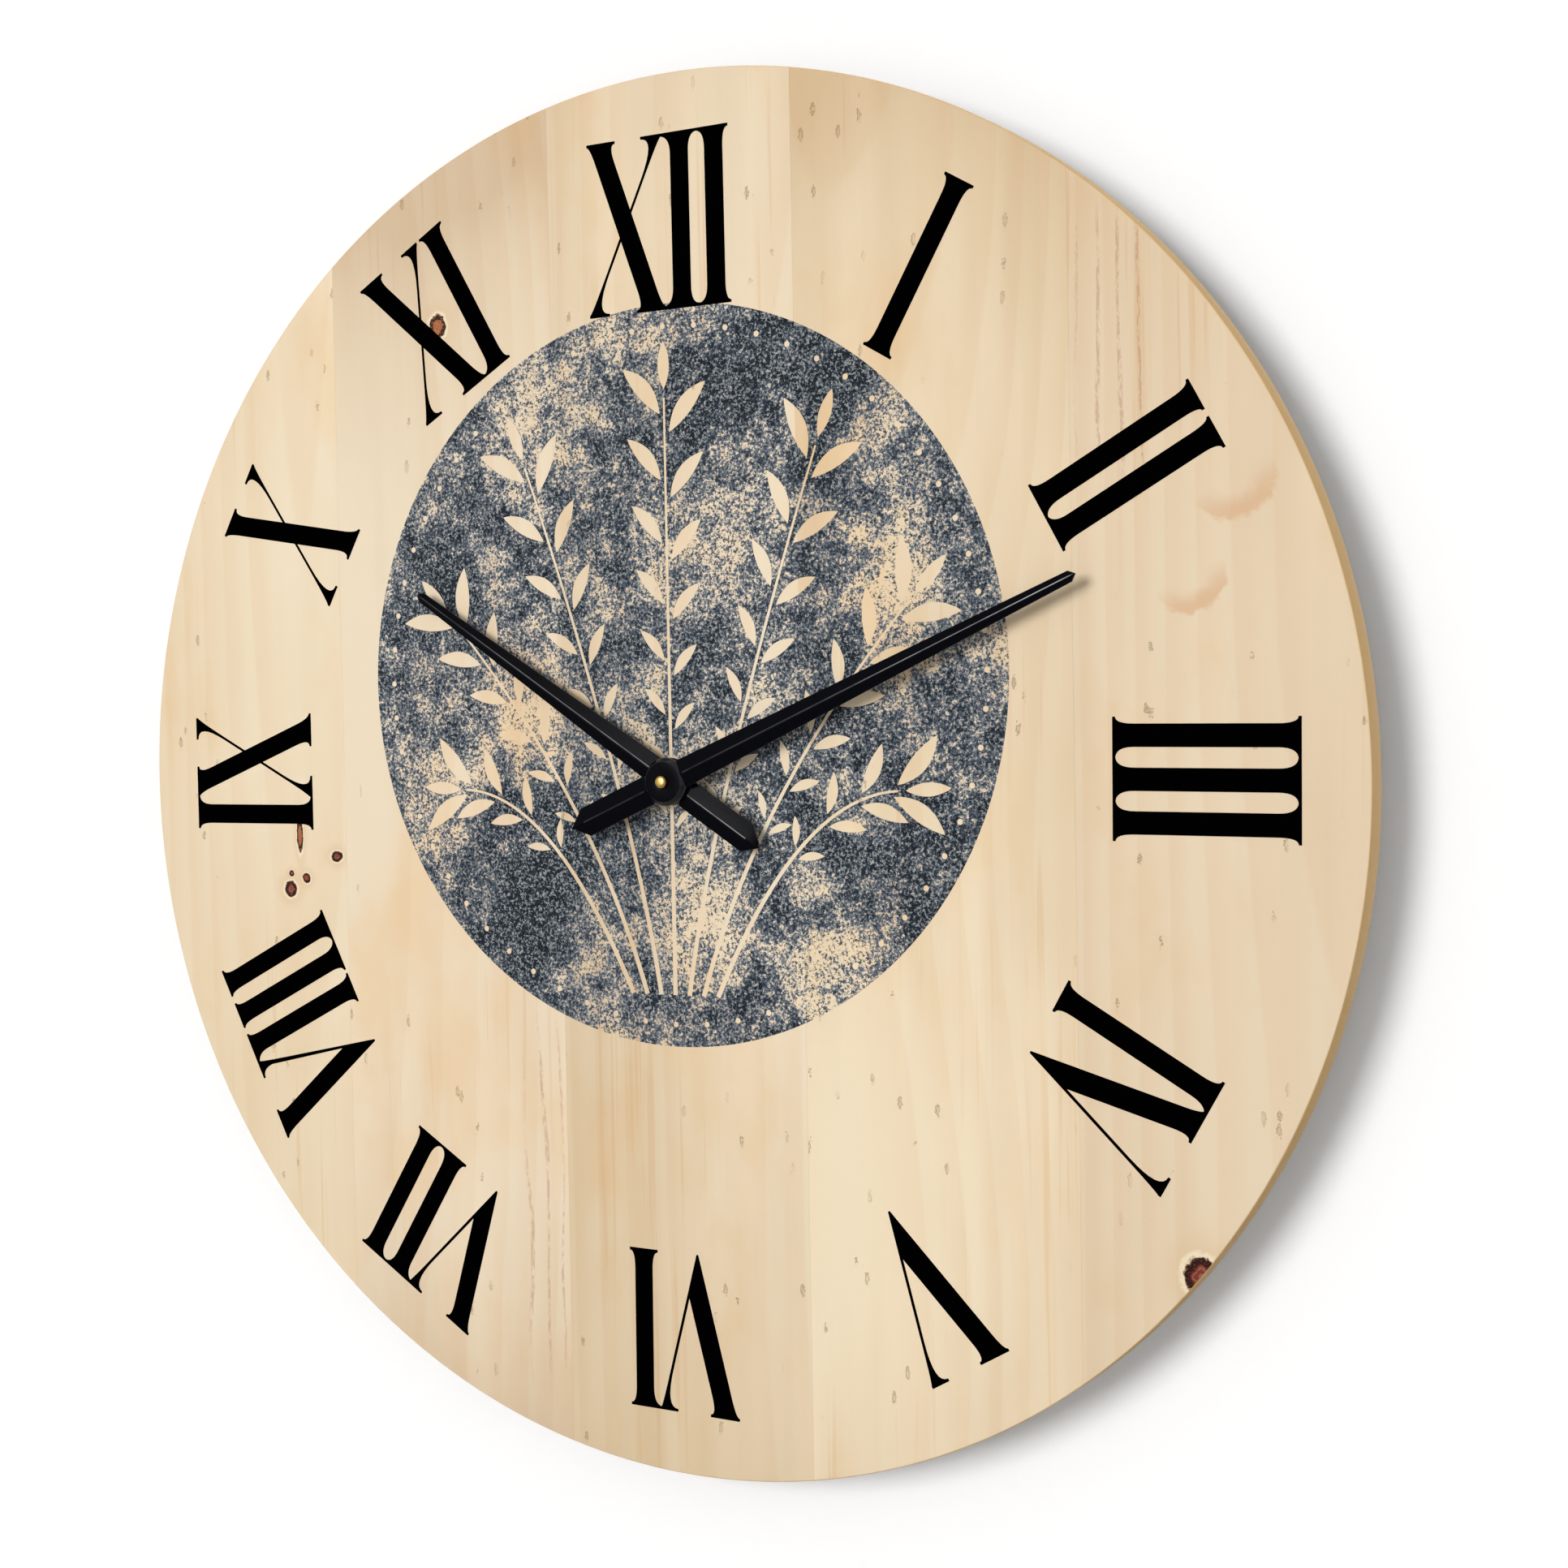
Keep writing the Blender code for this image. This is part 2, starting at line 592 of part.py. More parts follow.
def movement_cover():
    """Back half of the case: walls, back plate, the open battery bay and the partition above it."""
    front = CASE_SPLIT + SEAT
    mesh = prism(shell_outline(0.0), front, CASE_BACK)
    room = block(-CASE_INSIDE, CASE_INSIDE, front - OVERRUN, COVER_PLATE, PARTITION_TOP, CASE_INSIDE)
    bay = block(-CASE_INSIDE, CASE_INSIDE, front - OVERRUN, CASE_BACK + OVERRUN, -CASE_INSIDE, BAY_TOP)
    mesh = cut(mesh, joined([room, bay]))
    slot = CASE_INSIDE - CONTACT_ROOM
    for side in (-1, 1):
        low, high = sorted((side * slot, side * CASE_INSIDE))
        notch = block(low, high, front - OVERRUN, COVER_PLATE, BAY_TOP - SEAT, PARTITION_TOP + SEAT)
        mesh = cut(mesh, notch)
    skirt = block(-slot, slot, CASE_WALL + SEAT, front + OVERRUN, BAY_TOP, PARTITION_TOP)
    mesh = fused(mesh, skirt)
    knob_hole = hole(SETTING_SHAFT_RADIUS + SEAT, COVER_PLATE - OVERRUN, CASE_BACK + OVERRUN, SETTING_AT)
    return cut(mesh, knob_hole)


def bridge():
    """Rear plate that carries the arbors' back pivots, on three pillars."""
    outline = [
        plus(BRIDGE_PILLARS[0], (-PILLAR_RADIUS, PILLAR_RADIUS)),
        plus(BRIDGE_PILLARS[0], (-PILLAR_RADIUS, -PILLAR_RADIUS)),
        plus(BRIDGE_PILLARS[1], (-PILLAR_RADIUS, -PILLAR_RADIUS)),
        plus(BRIDGE_PILLARS[1], (PILLAR_RADIUS, -PILLAR_RADIUS)),
        plus(BRIDGE_PILLARS[2], (PILLAR_RADIUS, -PILLAR_RADIUS)),
        plus(BRIDGE_PILLARS[2], (PILLAR_RADIUS, PILLAR_RADIUS)),
        plus(ROTOR_AT, (2 * PILLAR_RADIUS, PILLAR_RADIUS)),
        plus(ROTOR_AT, (-PILLAR_RADIUS, PILLAR_RADIUS)),
    ]
    back = BRIDGE_LEVEL + BRIDGE_THICKNESS
    mesh = prism(outline, BRIDGE_LEVEL, back)
    pillars = [
        rod(PILLAR_RADIUS - SEAT, CASE_WALL + SEAT, BRIDGE_LEVEL + SEAT, place) for place in BRIDGE_PILLARS
    ]
    mesh = fused(mesh, joined(pillars))
    pivots = [
        hole(ARBOR_RADIUS + RUNNING, BRIDGE_LEVEL - OVERRUN, back + OVERRUN, place)
        for place in (THIRD_AT, CENTRE_AT, FIFTH_AT, ROTOR_AT)
    ]
    return cut(mesh, joined(pivots))


# Gears


def gear_outline(teeth, module, phase):
    """Teeth as narrow flat-topped wedges, with play enough to turn. A tooth stands at the phase angle."""
    addendum, tip_half, root_half = PINION_TOOTH if teeth <= PINION_TEETH_MOST else WHEEL_TOOTH
    tip = module * (teeth / 2 + addendum)
    root = module * (teeth / 2 - DEDENDUM)
    pitch = 360 / teeth
    outline = []
    for i in range(teeth):
        middle = phase + pitch * i
        outline.append(polar(root, middle - root_half * pitch))
        outline.append(polar(tip, middle - tip_half * pitch))
        outline.append(polar(tip, middle + tip_half * pitch))
        outline.append(polar(root, middle + root_half * pitch))
    return outline


def meshed_phase(driver_teeth, driver_phase, direction, teeth):
    """The phase of a gear that meshes with a driver, and lies in the direction given from it."""
    pitch = 360 / driver_teeth
    ahead = (driver_phase - direction) % pitch
    return direction + 180 - ahead * driver_teeth / teeth + 180 / teeth


def wheel(teeth, module, phase, level):
    return prism(gear_outline(teeth, module, phase), level, level + WHEEL_THICKNESS)


def wheel_bore(radius, level):
    """A cutter for a shaft's hole through the wheel at a level."""
    return hole(radius, level - OVERRUN, level + WHEEL_THICKNESS + OVERRUN, CENTRE_AT, PIPE_FACETS)


def pinion(teeth, module, phase, level, reach=None):
    """A pinion for the wheel at a level, or one that runs on to reach another depth."""
    front, back = level - PINION_OVERHANG, level + WHEEL_THICKNESS + PINION_OVERHANG
    if reach is not None:
        front, back = min(front, reach), max(back, reach)
    return prism(gear_outline(teeth, module, phase), front, back)


def arbor(front=None, back=None):
    """A plain steel arbor between its pivot holes in the base and the bridge."""
    front = CASE_WALL - PIVOT_DEPTH + SEAT if front is None else front
    back = BRIDGE_LEVEL + BRIDGE_THICKNESS - PINION_OVERHANG if back is None else back
    return rod(ARBOR_RADIUS, front, back)


def third_wheel():
    phase = meshed_phase(CENTRE_TEETH, 0.0, THIRD_DIRECTION, TRAIN_PINION_TEETH)
    small = pinion(TRAIN_PINION_TEETH, TRAIN_MODULE, phase, CENTRE_LEVEL, THIRD_LEVEL + SEAT)
    return fused(small, wheel(THIRD_TEETH, THIRD_MODULE, THIRD_DIRECTION + 180, THIRD_LEVEL), arbor())


def seconds_wheel():
    phase = meshed_phase(THIRD_TEETH, THIRD_DIRECTION + 180, THIRD_DIRECTION + 180, TRAIN_PINION_TEETH)
    small = pinion(TRAIN_PINION_TEETH, THIRD_MODULE, phase, THIRD_LEVEL, SECONDS_LEVEL + SEAT)
    shaft = arbor(front=DIAL_DEPTH - SECONDS_ARBOR_PROUD)
    return fused(small, wheel(SECONDS_TEETH, SECONDS_MODULE, FIFTH_DIRECTION, SECONDS_LEVEL), shaft)


def fifth_wheel():
    phase = meshed_phase(SECONDS_TEETH, FIFTH_DIRECTION, FIFTH_DIRECTION, FIFTH_PINION_TEETH)
    small = pinion(FIFTH_PINION_TEETH, SECONDS_MODULE, phase, SECONDS_LEVEL, FIFTH_LEVEL + SEAT)
    return fused(small, wheel(FIFTH_TEETH, TRAIN_MODULE, ROTOR_DIRECTION, FIFTH_LEVEL), arbor())


def rotor_pinion():
    phase = meshed_phase(FIFTH_TEETH, ROTOR_DIRECTION, ROTOR_DIRECTION, TRAIN_PINION_TEETH)
    small = pinion(TRAIN_PINION_TEETH, TRAIN_MODULE, phase, FIFTH_LEVEL)
    hub = rod(ROTOR_HUB_RADIUS, FIFTH_LEVEL, BRIDGE_LEVEL - SEAT)
    return fused(small, hub, arbor())


def centre_wheel():
    mesh = wheel(CENTRE_TEETH, TRAIN_MODULE, 0.0, CENTRE_LEVEL)
    return cut(mesh, wheel_bore(MINUTE_ARBOR_WAIST + SHAFT_PLAY, CENTRE_LEVEL))


def minute_arbor():
    """Hollow arbor that carries the minute hand and the minute pinion. The centre wheel grips its waist."""
    shoulder = MOTION_LEVEL - PINION_OVERHANG - SEAT
    back = CENTRE_LEVEL + WHEEL_THICKNESS + SEAT
    profile = [
        (MINUTE_ARBOR_RADIUS, DIAL_DEPTH - MINUTE_ARBOR_PROUD),
        (MINUTE_ARBOR_RADIUS, shoulder),
        (MINUTE_ARBOR_WAIST, shoulder),
        (MINUTE_ARBOR_WAIST, back),
        (MINUTE_ARBOR_BORE, back),
        (MINUTE_ARBOR_BORE, DIAL_DEPTH - MINUTE_ARBOR_PROUD),
    ]
    teeth = pinion(MINUTE_PINION_TEETH, TRAIN_MODULE, MINUTE_PINION_PHASE, MOTION_LEVEL)
    bore = wheel_bore(MINUTE_ARBOR_BORE + RUNNING, MOTION_LEVEL)
    return fused(turned(profile, PIPE_FACETS, closed=True), cut(teeth, bore))


def hour_wheel():
    """Wheel and pipe in one piece. The pipe carries the hour hand."""
    pipe_bore = MINUTE_ARBOR_RADIUS + SHAFT_PLAY
    pipe_front, pipe_back = DIAL_DEPTH - HOUR_PIPE_PROUD, HOUR_LEVEL + WHEEL_THICKNESS
    pipe = tube(HOUR_PIPE_RADIUS, pipe_bore, pipe_front, pipe_back, PIPE_FACETS)
    mesh = wheel(HOUR_TEETH, HOUR_MODULE, MOTION_DIRECTION, HOUR_LEVEL)
    return fused(pipe, cut(mesh, wheel_bore(pipe_bore + SHAFT_PLAY, HOUR_LEVEL)))


def motion_wheel():
    phase = meshed_phase(HOUR_TEETH, MOTION_DIRECTION, MOTION_DIRECTION, MOTION_PINION_TEETH)
    teeth = gear_outline(MOTION_PINION_TEETH, HOUR_MODULE, phase)
    small = prism(teeth, HOUR_LEVEL, MOTION_LEVEL + SEAT)
    mesh = fused(small, wheel(MOTION_TEETH, TRAIN_MODULE, MOTION_PHASE, MOTION_LEVEL))
    back = MOTION_LEVEL + WHEEL_THICKNESS
    return cut(mesh, hole(ARBOR_RADIUS + RUNNING, HOUR_LEVEL - OVERRUN, back + OVERRUN))


def setting_knob():
    """Knob behind the case, its shaft and the pinion that turns the motion wheel."""
    phase = meshed_phase(MOTION_TEETH, MOTION_PHASE, SETTING_DIRECTION, SETTING_PINION_TEETH)
    teeth = pinion(SETTING_PINION_TEETH, TRAIN_MODULE, phase, MOTION_LEVEL)
    front = CASE_BACK + SEAT
    shaft = rod(SETTING_SHAFT_RADIUS, MOTION_LEVEL, front + SEAT)
    knob_outline = []
    for i in range(2 * SETTING_KNOB_RIDGES):
        radius = SETTING_KNOB_RADIUS - (SEAT if i % 2 else 0.0)
        knob_outline.append(polar(radius, 180 * i / SETTING_KNOB_RIDGES))
    knob = prism(knob_outline, front, front + SETTING_KNOB_THICKNESS)
    pivot = rod(ARBOR_RADIUS, CASE_WALL - PIVOT_DEPTH + SEAT, MOTION_LEVEL + SEAT)
    return fused(teeth, shaft, knob, pivot)


# Motor, circuit and battery


def rotor_magnet():
    back = ROTOR_LEVEL + ROTOR_THICKNESS
    return tube(ROTOR_RADIUS, ROTOR_HUB_RADIUS + SEAT, ROTOR_LEVEL, back, NUT_FACETS)


def stator():
    """Flat iron ring: the bar with the rotor's hole below, two legs, and the core through the coil above."""
    front, back = STATOR_LEVEL, STATOR_LEVEL + STATOR_THICKNESS
    left, right = STATOR_LEFT + STATOR_LEG, STATOR_RIGHT - STATOR_LEG
    bottom, top = BAR_BOTTOM + STATOR_BAR, STATOR_TOP - CORE_BAR
    outer = block(STATOR_LEFT, STATOR_RIGHT, front, back, BAR_BOTTOM, STATOR_TOP)
    window = block(left, right, front - OVERRUN, back + OVERRUN, bottom, top)
    gap_radius = ROTOR_RADIUS + ROTOR_AIR_GAP
    pad = rod(gap_radius + STATOR_PAD, front, back, ROTOR_AT, NUT_FACETS)
    rotor_hole = hole(gap_radius, front - OVERRUN, back + OVERRUN, ROTOR_AT, NUT_FACETS)
    return cut(fused(cut(outer, window), pad), rotor_hole)


def along_x(outline, left, right, depth, height):
    """An outline of (depth, height) points, carried along X about a line at that depth and height."""
    return loft([[(x, depth + d, height + z) for d, z in outline] for x in (left, right)])


def core_space(margin, left, right):
    """The core's cross-section grown by a margin, along the coil."""
    outline = rounded(STATOR_THICKNESS + 2 * margin, CORE_BAR + 2 * margin, CORE_CORNER, 2)
    return along_x(outline, left, right, COIL_AT_DEPTH, COIL_AT_HEIGHT)


def coil_section(shrink):
    return rounded(COIL_DEPTH - 2 * shrink, COIL_HEIGHT - 2 * shrink, COIL_CORNER, 3)


def coil_bobbin():
    body = core_space(SEAT + BOBBIN_WALL, COIL_LEFT, COIL_RIGHT)
    flanges = [
        along_x(coil_section(0.0), left, left + BOBBIN_FLANGE, COIL_AT_DEPTH, COIL_AT_HEIGHT)
        for left in (COIL_LEFT, COIL_RIGHT - BOBBIN_FLANGE)
    ]
    return cut(fused(body, *flanges), core_space(SEAT, COIL_LEFT - OVERRUN, COIL_RIGHT + OVERRUN))


def coil_winding():
    left, right = COIL_LEFT + BOBBIN_FLANGE + SEAT, COIL_RIGHT - BOBBIN_FLANGE - SEAT
    body = along_x(coil_section(WINDING_SINK), left, right, COIL_AT_DEPTH, COIL_AT_HEIGHT)
    return cut(body, core_space(2 * SEAT + BOBBIN_WALL, left - OVERRUN, right + OVERRUN))


def circuit_board():
    left, right = -CASE_INSIDE + SEAT, CASE_INSIDE - SEAT
    bottom = PARTITION_TOP + SEAT
    inner = left + CIRCUIT_BLOCK_WIDTH
    outline = [
        (left, bottom),
        (right, bottom),
        (right, bottom + BOARD_STRIP),
        (inner, bottom + BOARD_STRIP),
        (inner, CIRCUIT_BLOCK_TOP),
        (left, CIRCUIT_BLOCK_TOP),
    ]
    return prism(outline, CIRCUIT_LEVEL, CIRCUIT_LEVEL + CIRCUIT_THICKNESS)


def quartz_crystal():
    """Small metal can that stands along Z in front of the circuit board."""
    return turned_about(rod(CRYSTAL_RADIUS, 0.0, CRYSTAL_LENGTH), "X", 90)


def clock_chip():
    """Drop of resin over the chip, thinnest at its rim."""
    steps = 4
    profile = [(0.0, 0.0), (CHIP_RADIUS, 0.0)]
    for i in range(1, steps + 1):
        angle = math.radians(90 * i / steps)
        radius = CHIP_RADIUS * math.cos(angle) if i < steps else 0.0
        profile.append((radius, -CHIP_HEIGHT * math.sin(angle)))
    return turned(profile)


def contact(side):
    """Bent spring strip at one end of the bay. It bows to the battery and rises to the circuit board."""
    outer = CASE_INSIDE - SEAT
    inner = outer - CONTACT_THICKNESS
    bow = max(inner - BATTERY_LENGTH / 2 - SEAT, 0.0)
    half = BATTERY_NUB_RADIUS
    foot, head = -CASE_INSIDE + CONTACT_FOOT, PARTITION_TOP + SEAT + BOARD_STRIP
    line = [(foot, 0.0), (BATTERY_Z - 2 * half, 0.0), (BATTERY_Z - half, bow), (BATTERY_Z + half, bow)]
    line += [(BATTERY_Z + 2 * half, 0.0), (head, 0.0)]
    face = [(side * (inner - bend), z) for z, bend in line]
    back = [(side * (outer - bend), z) for z, bend in reversed(line)]
    return prism(face + back, CIRCUIT_LEVEL - SEAT - CONTACT_WIDTH, CIRCUIT_LEVEL - SEAT)


def battery():
    """AA cell along X, its nub at the left."""
    half = BATTERY_LENGTH / 2
    radius = BATTERY_DIAMETER / 2
    shoulder = BATTERY_NUB_LENGTH - half
    profile = [
        (0.0, -half),
        (BATTERY_NUB_RADIUS, -half),
        (BATTERY_NUB_RADIUS, shoulder),
        (radius - BATTERY_ARRIS, shoulder),
        (radius, shoulder + BATTERY_ARRIS),
        (radius, half - BATTERY_ARRIS),
        (radius - BATTERY_ARRIS, half),
        (0.0, half),
    ]
    return turned_about(turned(profile, NUT_FACETS), "Z", -90)


# Hands. They are drawn pointing up, their undersides at depth 0 and their tops towards -Y.


def ridge(half_width):
    return half_width * RIDGE_SLOPE


def blade_section(along, half_width):
    """Bent sheet across the blade at one place along it."""
    rise = ridge(half_width)
    return [
        (-half_width, 0.0, along),
        (-half_width, -SHEET, along),
        (0.0, -SHEET - rise, along),
        (half_width, -SHEET, along),
        (half_width, 0.0, along),
        (0.0, -rise, along),
    ]


def blade(start, end, start_half, end_half):
    """A ridged blade from the hub out to its pointed end."""
    shoulder = end - math.copysign(POINT_SHARE * end_half, end)
    rise = ridge(end_half)
    mesh = bmesh.new()
    rows = [
        [mesh.verts.new(point) for point in blade_section(start, start_half)],
        [mesh.verts.new(point) for point in blade_section(shoulder, end_half)],
    ]
    top = mesh.verts.new((0.0, -SHEET - rise, end))
    under = mesh.verts.new((0.0, -rise, end))
    for i in range(6):
        j = (i + 1) % 6
        mesh.faces.new((rows[0][i], rows[0][j], rows[1][j], rows[1][i]))
    mesh.faces.new(rows[0])
    near = rows[1]
    mesh.faces.new((near[1], near[2], top))
    mesh.faces.new((near[2], near[3], top))
    mesh.faces.new((near[4], near[5], under))
    mesh.faces.new((near[5], near[0], under))
    mesh.faces.new((near[0], near[1], top, under))
    mesh.faces.new((near[3], near[4], under, top))
    return tidy(mesh)


HUB_TOP = SHEET + ridge(TAIL_HALF_WIDTH) + HUB_RISE


def hub(bore, seat_radius):
    """Pressed round hub: flat top with a seat sunk in its middle, and a sloping skirt down to the blades."""
    roof = HUB_TOP - SHEET - NUT_SEAT_DEPTH
    foot = HUB_RADIUS + HUB_SKIRT
    profile = [
        (bore, -(HUB_TOP - NUT_SEAT_DEPTH)),
        (seat_radius, -(HUB_TOP - NUT_SEAT_DEPTH)),
        (seat_radius, -HUB_TOP),
        (HUB_RADIUS, -HUB_TOP),
        (HUB_RADIUS + HUB_SKIRT / 2, -(HUB_TOP + SHEET) / 2),
        (foot, -SHEET),
        (foot, 0.0),
        (foot - SHEET, 0.0),
        (HUB_RADIUS - SHEET, -roof),
        (bore, -roof),
    ]
    return turned(profile, HUB_FACETS, closed=True)


def hand(length, bore, seat_radius):
    inner = HUB_RADIUS + HUB_SKIRT - 2 * SHEET
    taper = (BLADE_HALF_WIDTH - TIP_HALF_WIDTH) / length
    long_blade = blade(inner, length, BLADE_HALF_WIDTH - taper * inner, TIP_HALF_WIDTH)
    tail = blade(-inner, -TAIL_LENGTH, TAIL_HALF_WIDTH, TAIL_HALF_WIDTH)
    return fused(hub(bore, seat_radius), long_blade, tail)


def cap_nut():
    """Domed brass nut on the end of the minute arbor, its underside at depth 0."""
    top = MINUTE_ARBOR_PROUD - MINUTE_HAND_PROUD - HUB_TOP + NUT_SEAT_DEPTH
    wall_top = top + SEAT
    bore = MINUTE_ARBOR_RADIUS + SHAFT_PLAY
    profile = [(0.0, -wall_top), (bore, -wall_top), (bore, 0.0)]
    profile += [(CAP_NUT_RADIUS, 0.0), (CAP_NUT_RADIUS, -wall_top)]
    for share in DOME_STEPS:
        angle = math.asin(share)
        profile.append((CAP_NUT_RADIUS * math.cos(angle), -wall_top - CAP_NUT_DOME * share))
    profile.append((0.0, -wall_top - CAP_NUT_DOME))
    return turned(profile, NUT_FACETS)


# Places that several pieces share
CONTACT_ROOM = CONTACT_THICKNESS + 2 * SEAT + CONTACT_PLAY
STATOR_RIGHT = ROTOR_AT[0] + ROTOR_RADIUS + ROTOR_AIR_GAP + STATOR_PAD + STATOR_LEG
BAR_BOTTOM = ROTOR_AT[1] - STATOR_BAR / 2
COIL_LEFT = STATOR_LEFT + STATOR_LEG + SEAT
COIL_RIGHT = STATOR_RIGHT - STATOR_LEG - SEAT
COIL_AT_DEPTH = STATOR_LEVEL + STATOR_THICKNESS / 2
COIL_AT_HEIGHT = STATOR_TOP - CORE_BAR / 2
CIRCUIT_LEVEL = BATTERY_DEPTH + CONTACT_WIDTH / 2 + SEAT
CIRCUIT_ROW = PARTITION_TOP + SEAT + BOARD_STRIP / 2
CIRCUIT_POSTS = [
    (CIRCUIT_POST_INSET - CASE_INSIDE, CIRCUIT_ROW),
    (CASE_INSIDE - CIRCUIT_POST_INSET, CIRCUIT_ROW),
    (CIRCUIT_POST_INSET - CASE_INSIDE, CIRCUIT_BLOCK_TOP - 2 * POST_RADIUS),
]
STATOR_POSTS = [
    (STATOR_LEFT + STATOR_LEG / 2, STATOR_TOP - 2 * CORE_BAR),
    (STATOR_RIGHT - STATOR_LEG / 2, STATOR_TOP - 2 * CORE_BAR),
]
PAST_THIRD_WHEEL = THIRD_MODULE * THIRD_TEETH / 2 + PILLAR_ROOM
BRIDGE_PILLARS = [
    plus(THIRD_AT, (-PAST_THIRD_WHEEL, UPPER_PILLAR_RISE)),
    plus(THIRD_AT, (-LOWER_PILLAR_ASIDE, -PAST_THIRD_WHEEL)),
    plus(SETTING_AT, RIGHT_PILLAR_OFFSET),
]
MOTION_PHASE = MOTION_DIRECTION + 180
MINUTE_PINION_PHASE = meshed_phase(MOTION_TEETH, MOTION_PHASE, MOTION_DIRECTION + 180, MINUTE_PINION_TEETH)
MINUTE_HAND_PROUD = HOUR_HAND_PROUD + HUB_TOP + HAND_CLEARANCE


def build():
    for old in list(bpy.data.objects):
        bpy.data.objects.remove(old, do_unlink=True)

    pine = finish("pine", (0.80, 0.66, 0.47), 0.55)
    batten_pine = finish("batten_pine", (0.72, 0.56, 0.38), 0.6)
    steel = finish("zinc_steel", (0.62, 0.62, 0.60), 0.35, 1.0)
    black_metal = finish("black_metal", (0.02, 0.02, 0.025), 0.3)
    brass = finish("brass", (0.78, 0.58, 0.25), 0.25, 1.0)
    black_plastic = finish("black_plastic", (0.03, 0.03, 0.03), 0.5)
    white_plastic = finish("white_plastic", (0.82, 0.82, 0.80), 0.45)
    rubber = finish("rubber", (0.03, 0.03, 0.03), 0.8)
    copper = finish("copper_wire", (0.60, 0.25, 0.12), 0.35, 1.0)
    iron = finish("stator_iron", (0.35, 0.35, 0.36), 0.4, 1.0)
    green = finish("circuit_green", (0.05, 0.22, 0.10), 0.5)
    cell_jacket = finish("cell_jacket", (0.15, 0.16, 0.18), 0.35)
    magnet = finish("magnet", (0.08, 0.08, 0.09), 0.5)
    resin = finish("chip_resin", (0.01, 0.01, 0.01), 0.4)

    clock = empty("wall_clock", 0.0, 0.0, 0.0)
    disc = empty("disc_centre", 0.0, 0.0, CENTRE_Z, clock)
    for index in range(BOARD_COUNT):
        piece(f"board_{index + 1}", board(index), pine, disc)

    plain_batten = batten()
    piece("lower_batten", plain_batten, batten_pine, disc, (0.0, 0.0, -BATTEN_OFFSET))
    recess = moved(hanger_recess(), z=HANGER_SLOT_RISE / 2)
    piece("upper_batten", cut(batten(), recess), batten_pine, disc, (0.0, 0.0, BATTEN_OFFSET))
    first_screw = None
    for row, side in (("upper", 1), ("lower", -1)):
        for index in range(BOARD_COUNT):
            mesh = first_screw.data if first_screw else screw(SCREW_LENGTH)
            place = (screw_x(index), -SCREW_SINK, side * BATTEN_OFFSET)
            made = piece(f"{row}_batten_screw_{index + 1}", mesh, steel, disc, place)
            first_screw = first_screw or made

    piece("keyhole_hanger", hanger_plate(), steel, clock)
    first_screw = None
    for word, (x, z) in zip(("left", "right"), hanger_screw_places()):
        mesh = first_screw.data if first_screw else screw(HANGER_SCREW_LENGTH)
        made = piece(f"hanger_screw_{word}", mesh, steel, clock, (x, -SCREW_SINK, z))
        first_screw = first_screw or made

    movement = empty("movement", 0.0, CASE_FRONT, CENTRE_Z, clock)
    piece("movement_base", movement_base(), black_plastic, movement)
    piece("movement_cover", movement_cover(), black_plastic, movement)
    piece("train_bridge", bridge(), black_plastic, movement)
    gasket = tube(GASKET_RADIUS, BUSHING_RADIUS + SEAT, -SEAT - GASKET_THICKNESS, -SEAT)
    piece("rubber_gasket", gasket, rubber, movement)
    bushing_bore = BUSHING_RADIUS - BUSHING_WALL
    bushing = tube(BUSHING_RADIUS, bushing_bore, DIAL_DEPTH - BUSHING_PROUD, CASE_WALL - SEAT)
    piece("threaded_bushing", bushing, brass, movement)
    washer_front = DIAL_DEPTH - SEAT - WASHER_THICKNESS
    washer = tube(WASHER_RADIUS, BUSHING_RADIUS + SEAT, washer_front, DIAL_DEPTH - SEAT)
    piece("dial_washer", washer, brass, movement)
    nut_back = washer_front - SEAT
    nut_front = nut_back - NUT_THICKNESS
    nut_bore = hole(BUSHING_RADIUS + SEAT, nut_front - OVERRUN, nut_back + OVERRUN, CENTRE_AT, NUT_FACETS)
    nut = cut(prism(round_hole(NUT_ACROSS_FLATS / 2, 6), nut_front, nut_back), nut_bore)
    piece("hex_nut", nut, brass, movement)

    piece("circuit_board", circuit_board(), green, movement)
    crystal_at = (CRYSTAL_INSET - CASE_INSIDE, CIRCUIT_LEVEL - SEAT - CRYSTAL_RADIUS, CRYSTAL_LENGTH / 3)
    piece("quartz_crystal", quartz_crystal(), steel, movement, crystal_at)
    chip_at = (CHIP_INSET - CASE_INSIDE, CIRCUIT_LEVEL - SEAT, -CHIP_DROP)
    piece("clock_chip", clock_chip(), resin, movement, chip_at)
    piece("stator", stator(), iron, movement)
    piece("coil_bobbin", coil_bobbin(), white_plastic, movement)
    piece("coil_winding", coil_winding(), copper, movement)
    piece("positive_contact", contact(-1), steel, movement)
    piece("negative_contact", contact(1), steel, movement)
    cell = empty("battery_slide", 0.0, BATTERY_DEPTH, BATTERY_Z, movement)
    piece("battery", battery(), cell_jacket, cell)

    minute = empty("minute_axis", 0.0, 0.0, 0.0, movement)
    piece("minute_arbor", minute_arbor(), brass, minute)
    piece("centre_wheel", centre_wheel(), white_plastic, minute)
    hands_front = DIAL_DEPTH - MINUTE_HAND_PROUD
    minute_hand = hand(MINUTE_LENGTH, MINUTE_ARBOR_RADIUS + SEAT, NUT_SEAT_RADIUS)
    turned_about(minute_hand, "Y", MINUTE_CLOCK_ANGLE)
    piece("minute_hand", minute_hand, black_metal, minute, (0.0, hands_front, 0.0))
    nut_at = hands_front - HUB_TOP + NUT_SEAT_DEPTH - SEAT
    piece("hand_nut", cap_nut(), brass, minute, (0.0, nut_at, 0.0))

